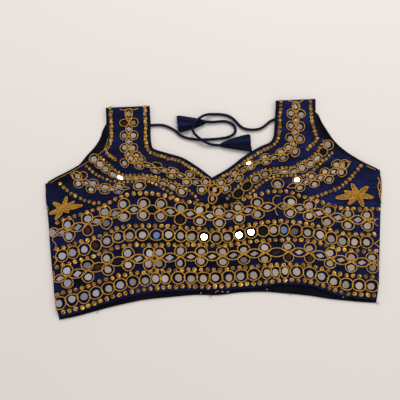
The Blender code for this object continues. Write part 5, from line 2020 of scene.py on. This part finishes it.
@dataclass
class LooseThreads:
    """Ends of pale and dark thread at the hem and the corners."""

    pale: Route = (
        (-3.4, -110.6, 1.6, -109.8), (5.0, -110.4, 8.4, -111.6), (10.6, -110.4, 14.6, -109.2),
        (154.6, -121.0, 157.6, -123.0), (-22.0, -111.4, -20.4, -110.2), (60.4, -109.4, 62.0, -110.6),
    )
    dark: Route = (
        (-9.6, -112.6, -7.4, -117.4), (-6.0, -112.8, -9.4, -115.2), (194.4, -130.0, 199.6, -133.6),
        (196.4, -129.4, 198.4, -134.4), (-150.0, -127.0, -153.0, -130.4), (88.0, -115.6, 91.4, -118.2),
    )

    def build(self, finishes: Finishes) -> bpy.types.Object:
        """Both kinds as one piece, each end a thin bent tube that lies on the back's edge or the table.

        Args:
            finishes: All the finishes.

        Returns:
            The piece.
        """
        random = np.random.default_rng(21)
        t = np.linspace(0.0, 1.0, 9)[:, None]
        arch = np.sin(math.pi * t)
        patches = []
        for ends, radius, level in ((self.pale, 0.32, 2.0), (self.dark, 0.17, 0.9)):
            tubes = []
            for ax, ay, bx, by in ends:
                bend = np.append(random.normal(0.0, 0.9, 2), 0.5)
                path = np.array([ax, ay, level]) * (1 - t) + np.array([bx, by, level * 0.6]) * t + bend * arch
                path[:, 2] = np.maximum(path[:, 2], radius)
                tubes.append(tube(path, radius, 6))
            patches.append(merge(tubes))
        piece = make_piece("loose_threads", patches, [finishes.pale_thread, finishes.cord], 80.0)
        return settle(piece, "black_lining")


# The table, light and camera

@dataclass
class TableTop:
    """The pale table that the blouse lies on."""

    half: float = 4.0
    under: float = 0.05
    corners: int = 9
    colour: tuple[float, float, float] = (0.80, 0.765, 0.735)

    def build(self) -> bpy.types.Object:
        """A wide flat top with a faint mottle, just under the blouse.

        Returns:
            The table.
        """
        material, bench, shader = new_material("pale table")
        low = tuple(c * 0.95 for c in self.colour)
        bench.feed(shader, {"Base Color": bench.mix(bench.noise(2.2, 3.0), (*low, 1.0), (*self.colour, 1.0)),
                            "Roughness": 0.7, "Specular IOR Level": 0.2})
        x, y = np.meshgrid(*[np.linspace(-1.0, 1.0, self.corners) * self.half / MM] * 2)
        points = np.column_stack([x.ravel(), y.ravel(), np.full(x.size, -self.under)])
        faces, _ = net_faces(self.corners, self.corners, False, False)
        top = make_piece("table_top", [Patch(points, [faces[:, ::-1]])], [material])
        return top


@dataclass
class Studio:
    """Soft light from the shoulders' side, a small lamp overhead, and a pale room."""

    lamp_at: tuple[float, float, float] = (0.0, 0.75, 0.95)
    strength: float = 0.95

    def area(self, name: str, at: tuple[float, float, float], size: float, power: float,
             colour: tuple[float, float, float]) -> None:
        """One square lamp aimed at the blouse.

        Args:
            name: The lamp's name.
            at: Where it stands, in metres.
            size: The length of its side.
            power: Its power in watts.
            colour: The colour of its light.
        """
        lamp = bpy.data.lights.new(name, "AREA")
        lamp.size, lamp.energy, lamp.color = size, power, colour
        holder = bpy.data.objects.new(name, lamp)
        holder.location = at
        holder.rotation_euler = (Vector(at) * -1).to_track_quat("-Z", "Y").to_euler()
        bpy.context.collection.objects.link(holder)

    def build(self) -> None:
        """The lamps, and a pale room under a darker ceiling that is cooler on the left."""
        bpy.context.scene.view_settings.view_transform = "Standard"
        self.area("window", (0.15, 2.3, 2.0), 1.1, 41.5, (1.0, 0.985, 0.96))
        self.area("side lamp", (1.7, 0.5, 1.5), 0.9, 8.5, (1.0, 0.975, 0.94))
        self.area("ceiling lamp", self.lamp_at, 0.16, 1.2, (1.0, 1.0, 1.0))
        world = bpy.data.worlds.new("room")
        bpy.context.scene.world = world
        world.use_nodes = True
        bench = Bench(world.node_tree)
        way = bench.add("SeparateXYZ", {0: bench.add("TexCoord").outputs["Generated"]}).outputs
        ceiling = bench.mix(bench.span(way[0], 0.0, 1.0, -0.42, 0.10),
                            (0.44, 0.435, 0.485, 1.0), (0.47, 0.43, 0.395, 1.0))
        uneven = bench.add("TexNoise", {"Scale": 6.0, "Detail": 3.0}).outputs["Fac"]
        uneven = bench.span(uneven, 0.80, 1.12, 0.3, 0.7)
        ceiling = bench.add("HueSaturation", {"Color": ceiling, "Value": uneven}).outputs[0]
        colour = bench.mix(bench.span(way[2], 0.0, 1.0, 0.50, 0.80), (0.80, 0.77, 0.74, 1.0), ceiling)
        bench.feed(world.node_tree.nodes["Background"], {"Color": colour, "Strength": self.strength})


@dataclass
class Camera:
    """A camera over the blouse, leaning a little from the hem's side, as in the photograph."""

    target: tuple[float, float, float] = (-0.0177, 0.0070, 0.002)
    distance: float = 0.553
    lean: float = 8.0
    roll: float = 2.4
    field: float = 50.0

    def axes(self) -> tuple[Vector, Vector, Vector]:
        """The camera's right, up and back directions.

        Returns:
            The three directions, each of length one.
        """
        lean, roll = math.radians(self.lean), math.radians(self.roll)
        level, up = Vector((1, 0, 0)), Vector((0, math.cos(lean), math.sin(lean)))
        right = level * math.cos(roll) - up * math.sin(roll)
        rise = level * math.sin(roll) + up * math.cos(roll)
        return right, rise, right.cross(rise)

    def at(self) -> Vector:
        """Where the camera stands, in metres."""
        return Vector(self.target) + self.axes()[2] * self.distance

    def build(self) -> None:
        """The camera, set as the scene's own."""
        data = bpy.data.cameras.new("camera")
        data.angle = math.radians(self.field)
        data.clip_start = 0.02
        holder = bpy.data.objects.new("camera", data)
        rotation = Matrix(self.axes()).transposed().to_4x4()
        holder.matrix_world = Matrix.Translation(self.at()) @ rotation
        bpy.context.collection.objects.link(holder)
        bpy.context.scene.camera = holder


def main() -> None:
    """Build the blouse, its light and its camera, and note its size."""
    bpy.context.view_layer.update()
    camera, studio = Camera(), Studio()
    camera.build()
    finishes = Finishes()
    tassel_left = Tassel("silk_tassel_left", "tassel_left", (-6.3, 110.9), (-42.6, 107.9), -1.6, 0.0, 7, 26, 2)
    tassel_right = Tassel("silk_tassel_right", "tassel_right", (11.9, 78.4), (51.8, 81.0), -1.5, 0.5, 5, 7, 5)
    TieCord("tie_cord_left", "dori_left", DORI_LEFT).build(finishes, tassel_left.build(finishes))
    TieCord("tie_cord_right", "dori_right", DORI_RIGHT).build(finishes, tassel_right.build(finishes))
    form = FrontForm()
    BackCloth(form).build(finishes)
    work = MirrorWork(form, tuple(camera.at() / MM), tuple(Vector(studio.lamp_at) / MM))
    # Places and reaches of the thread rings, for the shade painted inside them on the silk.
    rings = np.array([(seat.x, seat.y, (seat.ring_long + seat.ring_short) / 2) for seat in work.seats
                      if seat.ring_short > 0])
    FrontCloth(form, rings).build(finishes)
    piping = Piping(form)
    piping.build(finishes)
    piping.gold_edge(finishes)
    work.build(finishes)
    LeafFlower(form, "leaf_flower_left", (-193.6, 2.8), FLOWER_LEFT).build(finishes)
    LeafFlower(form, "leaf_flower_right", (184.7, 4.6), FLOWER_RIGHT).build(finishes)
    LooseThreads().build(finishes)
    TableTop().build()
    studio.build()
    bpy.context.view_layer.update()


if __name__ == "__main__":
    main()
